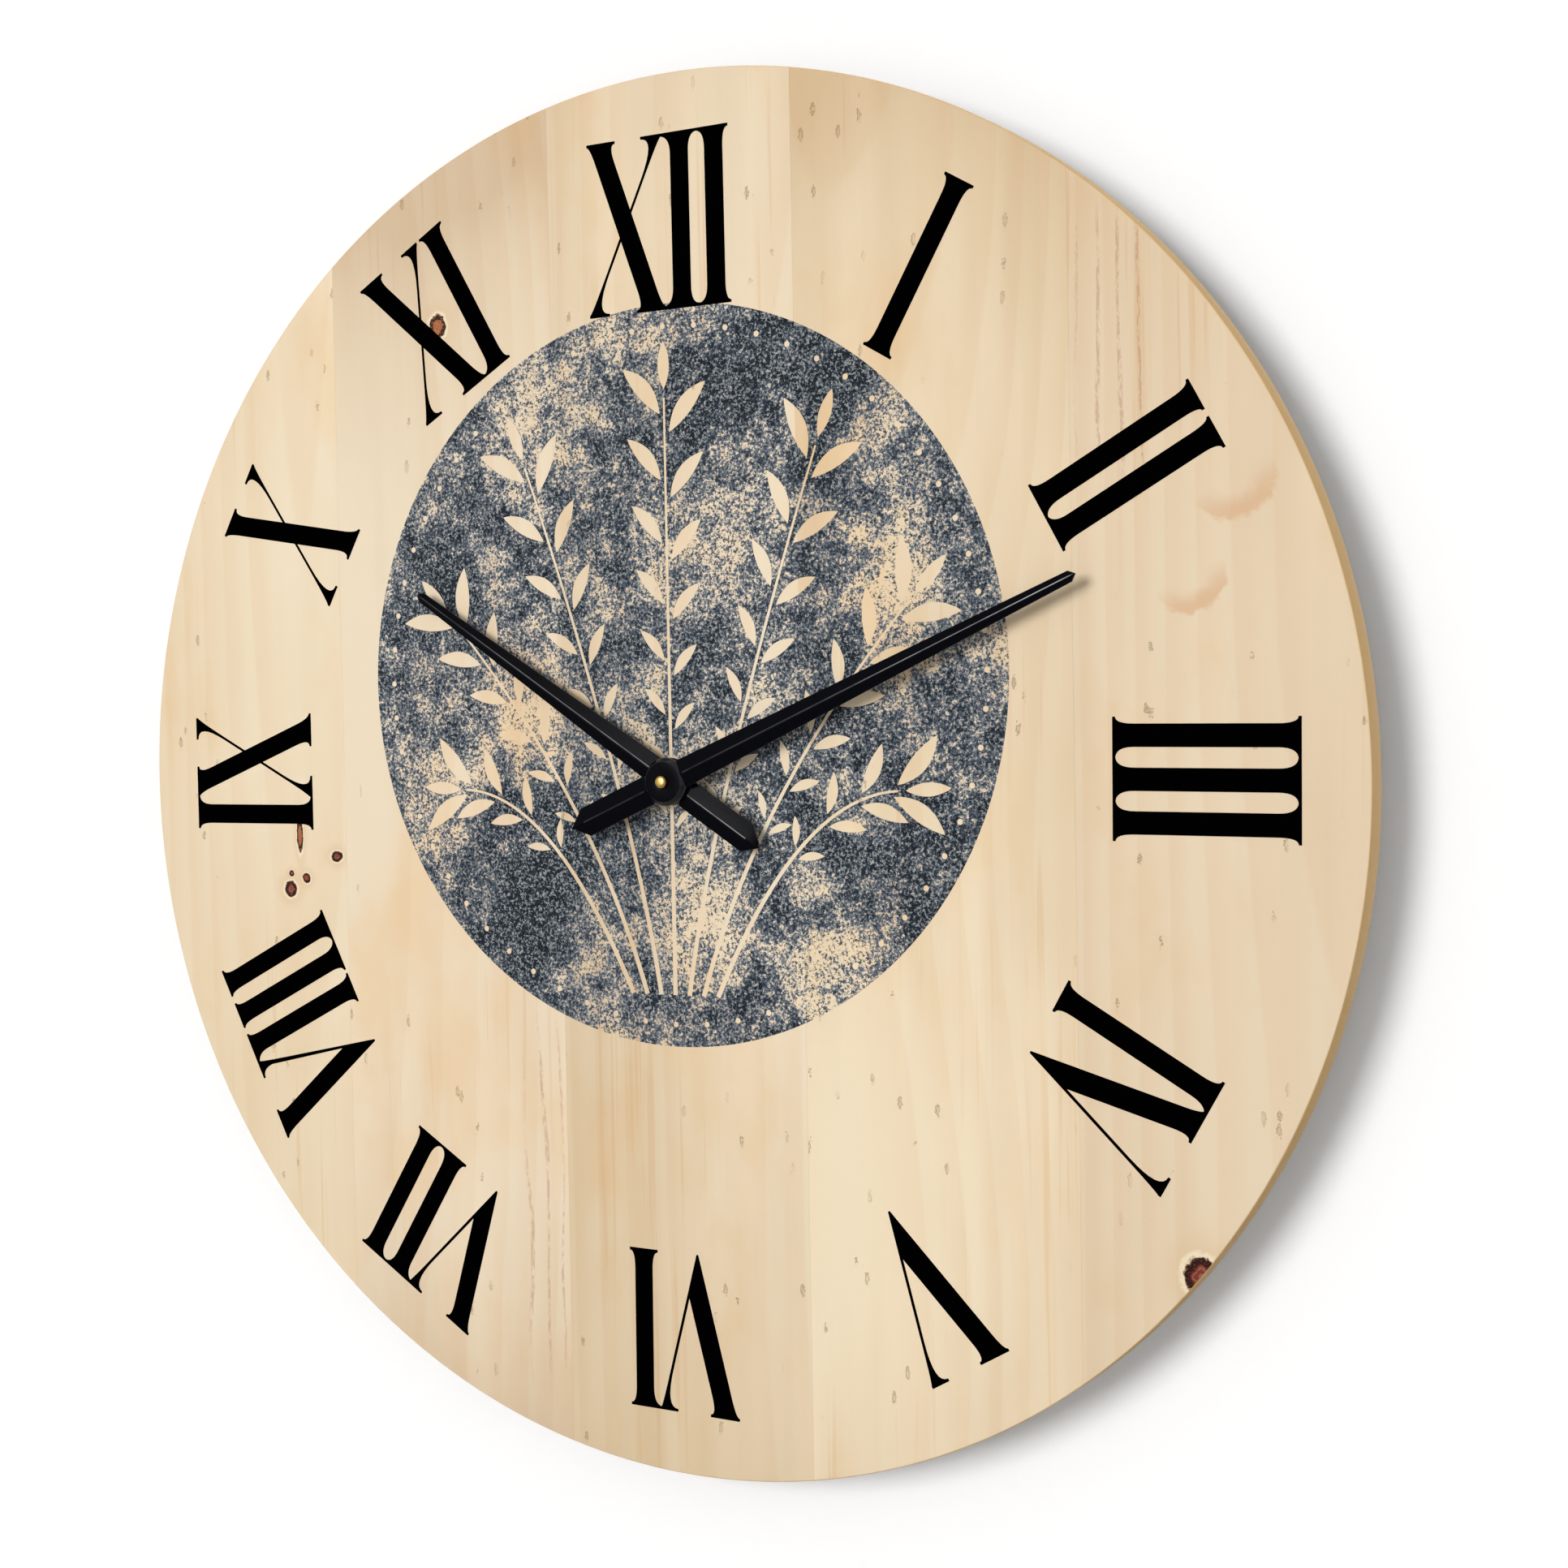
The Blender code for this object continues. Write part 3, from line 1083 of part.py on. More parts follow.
    hour = empty("hour_axis", 0.0, 0.0, 0.0, movement)
    piece("hour_wheel", hour_wheel(), brass, hour)
    hour_hand = hand(HOUR_LENGTH, BUSH_RADIUS + SEAT, BUSH_RADIUS + 2 * SEAT)
    turned_about(hour_hand, "Y", HOUR_CLOCK_ANGLE)
    hour_front = DIAL_DEPTH - HOUR_HAND_PROUD
    piece("hour_hand", hour_hand, black_metal, hour, (0.0, hour_front, 0.0))
    bush_front = hour_front - HUB_TOP + NUT_SEAT_DEPTH
    bush = tube(BUSH_RADIUS, HOUR_PIPE_RADIUS + SEAT, bush_front, bush_front + BUSH_LENGTH, PIPE_FACETS)
    piece("hour_hand_bush", bush, brass, hour)

    motion = empty("motion_axis", MOTION_AT[0], 0.0, MOTION_AT[1], movement)
    piece("motion_wheel", motion_wheel(), white_plastic, motion)
    setting = empty("setting_axis", SETTING_AT[0], 0.0, SETTING_AT[1], movement)
    piece("setting_knob", setting_knob(), black_plastic, setting)
    third = empty("third_axis", THIRD_AT[0], 0.0, THIRD_AT[1], movement)
    piece("third_wheel", third_wheel(), white_plastic, third)
    seconds = empty("seconds_axis", 0.0, 0.0, 0.0, movement)
    piece("seconds_wheel", seconds_wheel(), white_plastic, seconds)
    fifth = empty("fifth_axis", FIFTH_AT[0], 0.0, FIFTH_AT[1], movement)
    piece("fifth_wheel", fifth_wheel(), white_plastic, fifth)
    rotor = empty("rotor_axis", ROTOR_AT[0], 0.0, ROTOR_AT[1], movement)
    piece("rotor_pinion", rotor_pinion(), white_plastic, rotor)
    piece("rotor_magnet", rotor_magnet(), magnet, rotor)


build()
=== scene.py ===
# %% [markdown]
# A round wooden wall clock, dressed for rendering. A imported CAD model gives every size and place, and the
# cells below give each piece its fine surface and its finish. The first cell loads that model as a fixed
# frame, in metres, with +Z up. The dial faces -Y and the wall is the plane Y = 0.

# %% Load the frame
import math

import bmesh
import bpy
import numpy as np
from mathutils import Matrix, Vector


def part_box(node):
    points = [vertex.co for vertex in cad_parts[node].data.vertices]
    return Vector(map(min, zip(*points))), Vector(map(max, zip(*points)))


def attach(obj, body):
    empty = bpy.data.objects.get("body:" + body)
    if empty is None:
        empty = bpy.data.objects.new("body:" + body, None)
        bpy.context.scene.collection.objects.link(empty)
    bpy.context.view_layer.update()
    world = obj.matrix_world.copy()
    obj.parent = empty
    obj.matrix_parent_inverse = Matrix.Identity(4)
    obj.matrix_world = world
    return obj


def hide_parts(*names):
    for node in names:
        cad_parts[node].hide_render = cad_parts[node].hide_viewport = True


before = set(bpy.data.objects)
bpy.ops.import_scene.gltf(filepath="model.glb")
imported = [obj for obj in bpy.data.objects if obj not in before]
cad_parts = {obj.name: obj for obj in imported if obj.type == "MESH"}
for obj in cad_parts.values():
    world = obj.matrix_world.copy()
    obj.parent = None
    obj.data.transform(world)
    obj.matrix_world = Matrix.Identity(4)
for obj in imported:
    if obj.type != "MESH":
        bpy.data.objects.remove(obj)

scene = bpy.context.scene
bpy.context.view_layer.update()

# %% [markdown]
# Every size that the pieces share is read from the frame, so nothing here has to be fitted afterwards. The
# disc's radius is half the height of the middle board, which runs from rim to rim. Places on the dial are
# then given as shares of that radius, which makes them easy to compare with a picture.

# %% Measure the frame
MM = 0.001
BOARDS = 5
middle_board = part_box("board_3")
RADIUS = (middle_board[1].z - middle_board[0].z) / 2
CENTRE_Z = (middle_board[0].z + middle_board[1].z) / 2
CENTRE = (0.0, CENTRE_Z)
DIAL = middle_board[0].y
BOARD_BACK = middle_board[1].y
bushing_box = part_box("threaded_bushing")
bushing_radius = (bushing_box[1].x - bushing_box[0].x) / 2


def middle_of(low, high):
    """The (x, z) place in the middle of a box."""
    return (low.x + high.x) / 2, (low.z + high.z) / 2


print(f"Disc {2 * RADIUS / MM:.1f} mm across, boards {(BOARD_BACK - DIAL) / MM:.1f} mm thick")

# %% [markdown]
# Each shape is a grid of points worked out at once with numpy: one parameter runs round a ring, the other
# from ring to ring. One helper turns such a grid into a closed mesh. It merges points that fall together, as
# they do at a pole, and lets Blender turn all the faces outwards.

# %% Make a mesh from rings of points
SHARP_ANGLE = 35


def shade(piece, sharp=SHARP_ANGLE):
    """Smooth shading, with a hard edge wherever two faces meet at more than the sharp angle."""
    piece.data.shade_smooth()
    piece.data.set_sharp_from_angle(angle=math.radians(sharp))
    return piece


def add_piece(name, points, faces, sharp=SHARP_ANGLE):
    """A new object from an array of points and a list of faces, all in the place where they are used."""
    mesh = bpy.data.meshes.new(name)
    mesh.from_pydata(np.asarray(points, float).reshape(-1, 3).tolist(), [], faces)
    edit = bmesh.new()
    edit.from_mesh(mesh)
    bmesh.ops.remove_doubles(edit, verts=edit.verts, dist=0.001 * MM)
    bmesh.ops.recalc_face_normals(edit, faces=edit.faces)
    edit.to_mesh(mesh)
    edit.free()
    piece = bpy.data.objects.new(name, mesh)
    scene.collection.objects.link(piece)
    return shade(piece, sharp)


def quads(rings, points, wrap):
    """The quads of a grid: point j of ring i joins point j + 1 and the same two points of the next ring."""
    i, j = np.meshgrid(np.arange(rings if wrap else rings - 1), np.arange(points), indexing="ij")
    after, beside = (i + 1) % rings, (j + 1) % points
    corners = [i * points + j, i * points + beside, after * points + beside, after * points + j]
    return np.stack(corners, -1).reshape(-1, 4).tolist()


def shell(name, rings, wrap=False, sharp=SHARP_ANGLE):
    """A closed body through rings of points, with flat caps or wrapped from the last ring to the first."""
    rings = np.asarray(rings, float)
    count, points = rings.shape[:2]
    faces = quads(count, points, wrap)
    if not wrap:
        faces.append(list(range(points)))
        faces.append(list(range((count - 1) * points, count * points)))
    return add_piece(name, rings, faces, sharp)


# %% [markdown]
# Most small parts of a clock are turned on a lathe or stamped from sheet. A turned part is a profile of
# (radius, depth) carried round an axis along Y, and a stamped part is an outline of (x, z) carried along Y.
# Real edges are never sharp, so both can be eased: a corner is swapped for a short curve.

# %% Turn a profile, or carry an outline along Y


def eased(corners, radius, steps=4, closed=True):
    """Swaps each corner for a quadratic curve: (1-t)^2 P + 2t(1-t) C + t^2 Q, where C is the corner and P and
    Q lie a radius before and after it, but never past the middle of a side."""
    corners = np.asarray(corners, float)
    radius = np.broadcast_to(np.asarray(radius, float), len(corners))[:, None]
    before, after = np.roll(corners, 1, 0) - corners, np.roll(corners, -1, 0) - corners
    sizes = [np.maximum(np.linalg.norm(side, axis=1, keepdims=True), 1e-9) for side in (before, after)]
    start = corners + before / sizes[0] * np.minimum(radius, sizes[0] / 2)
    end = corners + after / sizes[1] * np.minimum(radius, sizes[1] / 2)
    t = np.linspace(0, 1, steps + 1)[None, :, None]
    curve = (1 - t) ** 2 * start[:, None] + 2 * t * (1 - t) * corners[:, None] + t ** 2 * end[:, None]
    if not closed:
        curve[0], curve[-1] = corners[0], corners[-1]
    return curve.reshape(-1, 2)


def turned(name, profile, sides=64, at=(0.0, 0.0), wrap=False, sharp=SHARP_ANGLE):
    """Turns (radius, depth) points about a line along Y through at: x = r cos a and z = r sin a."""
    radius, depth = np.asarray(profile, float).T[:, :, None]
    angle = np.linspace(0, 2 * np.pi, sides, endpoint=False)[None, :]
    x, z = at[0] + radius * np.cos(angle), at[1] + radius * np.sin(angle)
    return shell(name, np.stack([x, depth + 0 * x, z], -1), wrap, sharp)


def rod(name, radius, front, back, sides=24, at=(0.0, 0.0)):
    """A plain round rod from one depth to another."""
    return turned(name, [(0.0, front), (radius, front), (radius, back), (0.0, back)], sides, at)


def inset(outline, distance):
    """Moves each point of a counter-clockwise outline inwards, along the mean of its two sides' normals."""
    sides = np.roll(outline, -1, 0) - outline
    sides = sides / np.maximum(np.linalg.norm(sides, axis=1, keepdims=True), 1e-12)
    normals = np.stack([-sides[:, 1], sides[:, 0]], -1)
    earlier = np.roll(normals, 1, 0)
    mitre = (normals + earlier) / (1 + np.sum(normals * earlier, 1, keepdims=True))
    return outline + mitre * distance


def plate(name, outline, front, back, ease=0.0, steps=3, sharp=SHARP_ANGLE):
    """Carries an (x, z) outline from one depth to another. Its rims are eased along a quarter circle: at
    angle t the outline lies ease (1 - sin t) inside, at a depth of ease (1 - cos t)."""
    outline = np.asarray(outline, float)
    t = np.linspace(0, np.pi / 2, steps + 1) if ease else np.array([np.pi / 2])
    inside = ease * (1 - np.sin(t))
    depths = ease * (1 - np.cos(t)) if ease else np.array([0.0])
    inside = np.concatenate([inside, inside[::-1]])
    depths = np.concatenate([front + depths, back - depths[::-1]])
    rings = np.stack([np.insert(inset(outline, i), 1, depth, axis=1) for i, depth in zip(inside, depths)])
    return shell(name, rings, sharp=sharp)


def circle(radius, sides=64, at=(0.0, 0.0)):
    """Points at equal angles: (x, z) = at + radius (cos a, sin a)."""
    angle = np.linspace(0, 2 * np.pi, sides, endpoint=False)
    return np.array(at) + radius * np.stack([np.cos(angle), np.sin(angle)], -1)


def rectangle(left, right, bottom, top):
    return np.array([(left, bottom), (right, bottom), (right, top), (left, top)], float)


# %% [markdown]
# Holes, recesses and joined strokes are Booleans. Each one is applied at once and its tool deleted, so that
# a finished piece is a plain mesh.

# %% Cut and join meshes


def combined(base, tools, operation="DIFFERENCE", sharp=SHARP_ANGLE):
    """Applies one Boolean for each tool, and keeps the result as the base's own mesh."""
    for tool in tools:
        modifier = base.modifiers.new("Boolean", "BOOLEAN")
        modifier.operation = operation
        modifier.object = tool
        graph = bpy.context.evaluated_depsgraph_get()
        result = bpy.data.meshes.new_from_object(base.evaluated_get(graph))
        base.modifiers.clear()
        base.data = result
        bpy.data.objects.remove(tool)
    return shade(base, sharp)


def one_mesh(name, parts):
    """Several objects that don't touch, as one object."""
    edit = bmesh.new()
    for part in parts:
        edit.from_mesh(part.data)
        bpy.data.objects.remove(part)
    mesh = bpy.data.meshes.new(name)
    edit.to_mesh(mesh)
    edit.free()
    piece = bpy.data.objects.new(name, mesh)
    scene.collection.objects.link(piece)
    return shade(piece)


def finished(piece, body, material, replaces=()):
    """Gives a piece its finish and the body it moves with, and hides the CAD pieces that it stands for."""
    piece.data.materials.clear()
    piece.data.materials.append(material)
    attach(piece, body)
    if replaces:
        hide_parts(*replaces)
    return piece


# %% [markdown]
# The camera stands to the right of the clock and a little above its middle, and looks back at it, so the
# disc shows as an ellipse and its right edge can be seen. It aims at a point on the dial, leans a little,
# and uses a normal lens.

# %% Place the camera
CAMERA_AZIMUTH, CAMERA_ELEVATION, CAMERA_ROLL = (math.radians(a) for a in (29.7, 2.0, -1.05))
CAMERA_DISTANCE = 3.31 * RADIUS
CAMERA_AIM = Vector((0.175 * RADIUS, DIAL, CENTRE_Z - 0.004 * RADIUS))
LENS_MM, SENSOR_MM = 54.7, 36
NEAREST_SEEN = 0.01
flat = math.cos(CAMERA_ELEVATION)
back = Vector((math.sin(CAMERA_AZIMUTH) * flat, -math.cos(CAMERA_AZIMUTH) * flat, math.sin(CAMERA_ELEVATION)))
across = Vector((0, 0, 1)).cross(back).normalized()
up = back.cross(across)
right = across * math.cos(CAMERA_ROLL) + up * math.sin(CAMERA_ROLL)
up = up * math.cos(CAMERA_ROLL) - across * math.sin(CAMERA_ROLL)
camera = bpy.data.objects.new("camera", bpy.data.cameras.new("camera"))
scene.collection.objects.link(camera)
camera.matrix_world = Matrix((right, up, back)).transposed().to_4x4()
camera.location = CAMERA_AIM + back * CAMERA_DISTANCE
camera.data.lens = LENS_MM
camera.data.sensor_width = SENSOR_MM
camera.data.clip_start = NEAREST_SEEN
scene.camera = camera
print(f"Camera {CAMERA_DISTANCE:.2f} m from the dial")

# %% [markdown]
# Materials are built from nodes. To keep them readable, each output of a node is a signal that can stand in a
# formula: a + b then adds a Math node, or a Vector Math node where a is a vector. A node goes into the tree
# that its signals belong to, so a tree is named only where a node has none.

# %% Signals


class Signal:
    """An output of a node. Each of + - * / adds a node to the tree that the output belongs to."""

    def __init__(self, socket):
        self.socket = socket
        self.tree = socket.id_data
        self.kind = "VectorMath" if socket.type == "VECTOR" else "Math"

    def __add__(self, other):
        return add(self.kind, {0: self, 1: other}, operation="ADD")[0]

    def __sub__(self, other):
        return add(self.kind, {0: self, 1: other}, operation="SUBTRACT")[0]

    def __rsub__(self, other):
        return add(self.kind, {0: other, 1: self}, operation="SUBTRACT")[0]

    def __mul__(self, other):
        return add(self.kind, {0: self, 1: other}, operation="MULTIPLY")[0]

    def __truediv__(self, other):
        return add(self.kind, {0: self, 1: other}, operation="DIVIDE")[0]


class Outputs:
    """The outputs of a node, each as a signal, by name or by number."""

    def __init__(self, node):
        self.node = node

    def __getitem__(self, key):
        return Signal(self.node.outputs[key])


def add(kind, inputs, tree=None, **settings):
    """Adds a node with its settings to a tree, and gives each input a value or a signal."""
    if tree is None:
        tree = next(value.tree for value in inputs.values() if isinstance(value, Signal))
    made = tree.nodes.new("ShaderNode" + kind)
    for key, value in settings.items():
        setattr(made, key, value)
    for key, value in inputs.items():
        if isinstance(value, Signal):
            tree.links.new(value.socket, made.inputs[key])
        else:
            made.inputs[key].default_value = value
    return Outputs(made)


def feed(sockets, **signals):
    """Links signals to the sockets of their names, where _ stands for a space."""
    for name, signal in signals.items():
        signal.tree.links.new(signal.socket, sockets[name.replace("_", " ")])


print("Signals ready")

# %% [markdown]
# A few kinds of node come back in nearly every finish. Each has a short name here, so that it can stand in a
# formula too.

# %% Short names for common nodes


def maths(operation, first, second=0.0):
    return add("Math", {0: first, 1: second}, operation=operation)[0]


def vector_of(x, y, z):
    return add("CombineXYZ", {0: x, 1: y, 2: z})[0]


def axes_of(vector):
    return add("SeparateXYZ", {0: vector})


def length_of(vector):
    return add("VectorMath", {0: vector}, operation="LENGTH")["Value"]


def blend_of(factor, first, second, mode="MIX"):
    """A mix of two colours."""
    return add("Mix", {0: factor, 6: first, 7: second}, data_type="RGBA", blend_type=mode)[2]


def span(value, low, high, to_low=0.0, to_high=1.0, smooth=True):
    """Maps the range low to high onto another one, and holds it there."""
    inputs = {"Value": value, "From Min": low, "From Max": high, "To Min": to_low, "To Max": to_high}
    return add("MapRange", inputs, interpolation_type="SMOOTHSTEP" if smooth else "LINEAR")[0]


def noise(vector, scale, detail=2.0, roughness=0.5, squeeze=1.0):
    """Noise with features of about 1 / scale metres, which a squeeze below 1 makes longer along Z."""
    place = vector * (1.0, 1.0, squeeze)
    return add("TexNoise", {"Vector": place, "Scale": scale, "Detail": detail, "Roughness": roughness})["Fac"]


print("Short names ready")

# %% [markdown]
# A material starts as one Principled shader, whose plain values are set on its own sockets. An effect that
# several finishes share, such as wood grain, is a node group. It puts out only masks, and the shader stays in
# the material.

# %% Start a material or a node group


def srgb(red, green, blue):
    """A colour as read from a screen, 0 to 255, as the linear value that a shader takes."""
    share = np.array([red, green, blue]) / 255
    linear = np.where(share <= 0.04045, share / 12.92, ((share + 0.055) / 1.055) ** 2.4)
    return (*linear.tolist(), 1.0)


def new_group(name, inputs, masks):
    """A group with named inputs and their default values. It returns them and the sockets of its masks."""
    group = bpy.data.node_groups.new(name, "ShaderNodeTree")
    for label, value in inputs.items():
        kind = "NodeSocketVector" if isinstance(value, tuple) else "NodeSocketFloat"
        socket = group.interface.new_socket(label, in_out="INPUT", socket_type=kind)
        socket.default_value = value
    for label in masks:
        group.interface.new_socket(label, in_out="OUTPUT", socket_type="NodeSocketFloat")
    return group, Outputs(group.nodes.new("NodeGroupInput")), group.nodes.new("NodeGroupOutput").inputs


def use_group(group, inputs):
    """Places a group beside the signals that it takes."""
    return add("Group", inputs, node_tree=group)


def new_material(name, **values):
    """A material, its shader's sockets and the place of a point in metres."""
    material = bpy.data.materials.new(name)
    material.use_nodes = True
    shader = material.node_tree.nodes["Principled BSDF"]
    for key, value in values.items():
        shader.inputs[key.replace("_", " ")].default_value = value
    place = add("TexCoord", {}, material.node_tree)["Object"]
    return material, shader.inputs, place


def bump(sockets, height, distance, strength=1.0):
    """Feeds a height in 0 to 1 to the shader's normal, as a relief of that many metres."""
    relief = add("Bump", {"Height": height, "Distance": distance, "Strength": strength})[0]
    feed(sockets, Normal=relief)


print("Materials can be made")

# %% [markdown]
# Pine shows its growth rings as soft bands that run up the board and close in long arches where the saw
# passed near the outside of the log. The rings are the distance from a pith line that stands behind the
# board, bent a little by noise. Fibres, streaks, broad patches of tone and a warm blush are noise stretched
# along the grain, each on its own scale. The group knows nothing of one board: seed, pith and pitch are its
# inputs.

# %% Node group for wood grain
PINE = {"Vector": (0.0, 0.0, 0.0), "Seed": 0.0, "Pith Aside": 0.0, "Pith Behind": 0.06, "Ring Pitch": 0.006}
PINE_MASKS = ("Rings", "Fibres", "Lines", "Streaks", "Blush", "Height")
grain_group, given, result = new_group("wood_grain", PINE, PINE_MASKS)
place = given["Vector"] + vector_of(given["Seed"] * 3.7, 0.0, given["Seed"])
bend = noise(place, 4.0, 2.0, 0.5, 0.35) - 0.5
waver = noise(place, 30.0, 2.0, 0.5, 0.12) - 0.5
axes = axes_of(given["Vector"])
x = axes[0] - given["Pith Aside"] + bend * 0.05
y = given["Pith Behind"] + bend * 0.09
distance = maths("SQRT", x * x + y * y) + waver * 0.003
phase = maths("FRACT", distance / given["Ring Pitch"])
late = span(phase, 0.1, 0.85) * span(phase, 1.0, 0.9)
fibres = noise(place, 1400.0, 2.0, 0.6, 0.025)
cords = noise(place, 260.0, 2.0, 0.6, 0.02)
patches = noise(place, 9.0, 3.0, 0.5, 0.45)
streaks = noise(place, 42.0, 3.0, 0.5, 0.05)
lines = span(cords, 0.58, 0.68) * span(patches, 0.5, 0.62)
tone = patches * 0.6 + streaks * 0.4
blush = span(noise(place, 13.0, 4.0, 0.6, 0.55), 0.5, 0.72)
feed(
    result, Rings=late, Blush=blush, Fibres=blend_of(0.5, cords, fibres), Lines=lines,
    Streaks=span(tone, 0.36, 0.64, smooth=False), Height=fibres * 0.6 + late * 0.4,
)
print("Wood grain group:", len(grain_group.nodes), "nodes")

# %% [markdown]
# A knot is where a branch ran through the board: a red-brown heart with growth rings of its own in a broken,
# nearly black rim, with a thin pale line of torn fibres round it and warmer wood beyond. The group measures
# how far a point lies from one knot, with the knot's own width and height, and puts out a mask for each of
# these, so that a board can place its knots where they belong. A narrow, tall one is a crack filled with
# resin.

# %% Node group for a knot
KNOT = {"Vector": (0.0, 0.0, 0.0), "Centre": (0.0, 0.0, 0.0), "Across": 0.006, "Along": 0.008}
KNOT_RINGS = 3.2
knot_group, given, result = new_group("knot", KNOT, ("Heart", "Growth", "Rim", "Pale", "Halo"))
away = (given["Vector"] - given["Centre"]) / vector_of(given["Across"], 1.0, given["Along"])
from_middle = length_of(away * (1.0, 0.0, 1.0))
ragged = noise(given["Vector"], 360.0, 4.0, 0.7) - 0.5
reach = from_middle + ragged * 0.8
heart = span(reach, 1.05, 0.92)
growth = span(maths("SINE", reach * (KNOT_RINGS * math.tau)), -0.3, 0.8)
rim = span(reach, 0.5, 0.66) * span(reach, 1.1, 1.0)
broken = span(noise(given["Vector"], 1100.0, 3.0, 0.7), 0.36, 0.5, 0.45, 1.0)
rim = rim * broken
pale = span(reach, 1.05, 1.15) * span(reach, 1.5, 1.2)
feed(result, Heart=heart, Growth=growth, Rim=rim, Pale=pale, Halo=span(from_middle, 3.2, 0.8))
print("Knot group:", len(knot_group.nodes), "nodes")

# %% [markdown]
# Where a small branch only came near the surface, the wood shows a soft orange crescent. It is the lower part
# of a ring, heavier to the right: the distance from its centre, times a slope down and to the right.

# %% Node group for a crescent
CRESCENT = {"Vector": (0.0, 0.0, 0.0), "Centre": (0.0, 0.0, 0.0), "Reach": 0.009}
crescent_group, given, result = new_group("crescent", CRESCENT, ("Mask",))
away = (given["Vector"] - given["Centre"]) / vector_of(given["Reach"], 1.0, given["Reach"])
axes = axes_of(away)
ragged = noise(given["Vector"], 160.0, 4.0, 0.6) - 0.5
reach = length_of(vector_of(axes[0], 0.0, axes[2])) + ragged * 0.55
slope = axes[0] * 0.45 - axes[2]
band = span(reach, 0.35, 0.8) * span(reach, 1.12, 0.95)
feed(result, Mask=band * span(slope, -0.1, 0.9))
print("Crescent group:", len(crescent_group.nodes), "nodes")

# %% [markdown]
# Handling left small dents in the soft wood, pressed in along the grain and mostly in rows. Each is the core
# of a cell in a pattern that is stretched along the grain, kept only where a slow noise across the grain is
# high. Elsewhere torn pores show as thin broken lines, some 9 mm apart. One group makes both.

# %% Node group for dents and pores
MARKS = {"Vector": (0.0, 0.0, 0.0), "Seed": 0.0}
dents_group, given, result = new_group("dents_and_pores", MARKS, ("Dents", "Pores"))
place = given["Vector"] + vector_of(given["Seed"] * 2.3, 0.0, given["Seed"])
cells = add("TexVoronoi", {"Vector": place * (1.0, 1.0, 0.4), "Scale": 125.0})["Distance"]
dents = cells + noise(place, 900.0, 3.0, 0.6) * 0.36
rows = span(noise(place, 30.0, 1.0, 0.5, 0.05), 0.5, 0.56)
some = rows * span(noise(place, 25.0, 1.0), 0.42, 0.52)
feed(result, Dents=span(dents, 0.32, 0.26) * some)
drift = noise(place, 14.0, 2.0, 0.5, 0.3)
rank = axes_of(place)[0] * 115.0 + drift * 2.5 + noise(place, 75.0, 2.0, 0.5, 0.25) * 0.5
beside = maths("ABSOLUTE", maths("FRACT", rank) - 0.5)
broken = span(noise(place, 700.0, 3.0, 0.7, 0.35), 0.4, 0.6)
feed(result, Pores=span(beside, 0.11, 0.04) * broken)
print("Dents and pores group:", len(dents_group.nodes), "nodes")

# %% [markdown]
# The sanded pine has a thin clear coat of the kind that a print needs, so it is satin. Each board is its own
# tree, so each has its own two tints, seed and pith. How much of the darker tint shows is a sum: a start, a
# slope across the board, a slope up the board and a share that grows with the fourth power of the way to
# either end, plus the streaks. The sawn edge of the disc is a warmer tan than its face: partly the colour of
# the sawn wood and partly painted warm bounce light.

# %% Finish for one board
PITH_ASIDE = (0.03, -0.05, 0.02, -0.045, 0.05)
PITH_BEHIND = (0.05, 0.075, 0.06, 0.09, 0.055)
RING_PITCH = 11 * MM
BOARD_TINTS = (
    (srgb(241, 224, 195), srgb(226, 201, 162)),
    (srgb(239, 221, 193), srgb(214, 190, 158)),
    (srgb(240, 222, 193), srgb(215, 191, 155)),
    (srgb(243, 225, 194), srgb(214, 187, 149)),
    (srgb(233, 213, 183), srgb(217, 191, 156)),
)
# For each board: the start, the slopes across and up, and the share at both ends.
EVEN_TONE = (0.5, 0.0, 0.0, 0.0)
BOARD_TONES = (
    (0.3, -0.4, -0.15, 0.1),
    (0.0, 0.0, 0.25, 1.4),
    (0.22, -0.38, -0.15, 0.35),
    (0.15, 0.15, 0.4, 0.5),
    (0.2, 0.0, 0.1, 0.9),
)
STREAK_SHARE = 0.55
RESIN_RED, RESIN_PINK, KNOT_DARK = srgb(112, 22, 14), srgb(172, 104, 84), srgb(34, 8, 5)
KNOT_TAN, PALE_FIBRE = srgb(178, 108, 62), srgb(250, 238, 210)


def dial_point(across, rise):
    """A place on the dial, given in shares of the radius from its centre, as metres."""
    return (across * RADIUS, DIAL, CENTRE_Z + rise * RADIUS)


# Across and rise in shares of the radius, half width and half height in mm, and whether the heart is red.
KNOTS = {
    0: [
        (-0.724, -0.171, 3.6, 3.6, True), (-0.722, -0.146, 1.5, 1.5, True), (-0.692, -0.153, 2.4, 2.3, True),
        (-0.629, -0.118, 3.3, 2.5, True), (-0.703, -0.086, 1.9, 8.0, False),
    ],
    1: [(-0.409, 0.681, 4.4, 5.4, False)],
    4: [(0.773, -0.632, 6.6, 7.4, True)],
}
# Across and rise in shares of the radius, and reach in mm.
CRESCENTS = {4: [(0.825, 0.385, 17.0), (0.768, 0.262, 14.5)]}
# Across, rise, half width and half height of a patch of torn pores, in shares of the radius.
PORES = {1: (-0.245, -0.62, 0.04, 0.3), 4: (0.672, 0.56, 0.06, 0.2)}


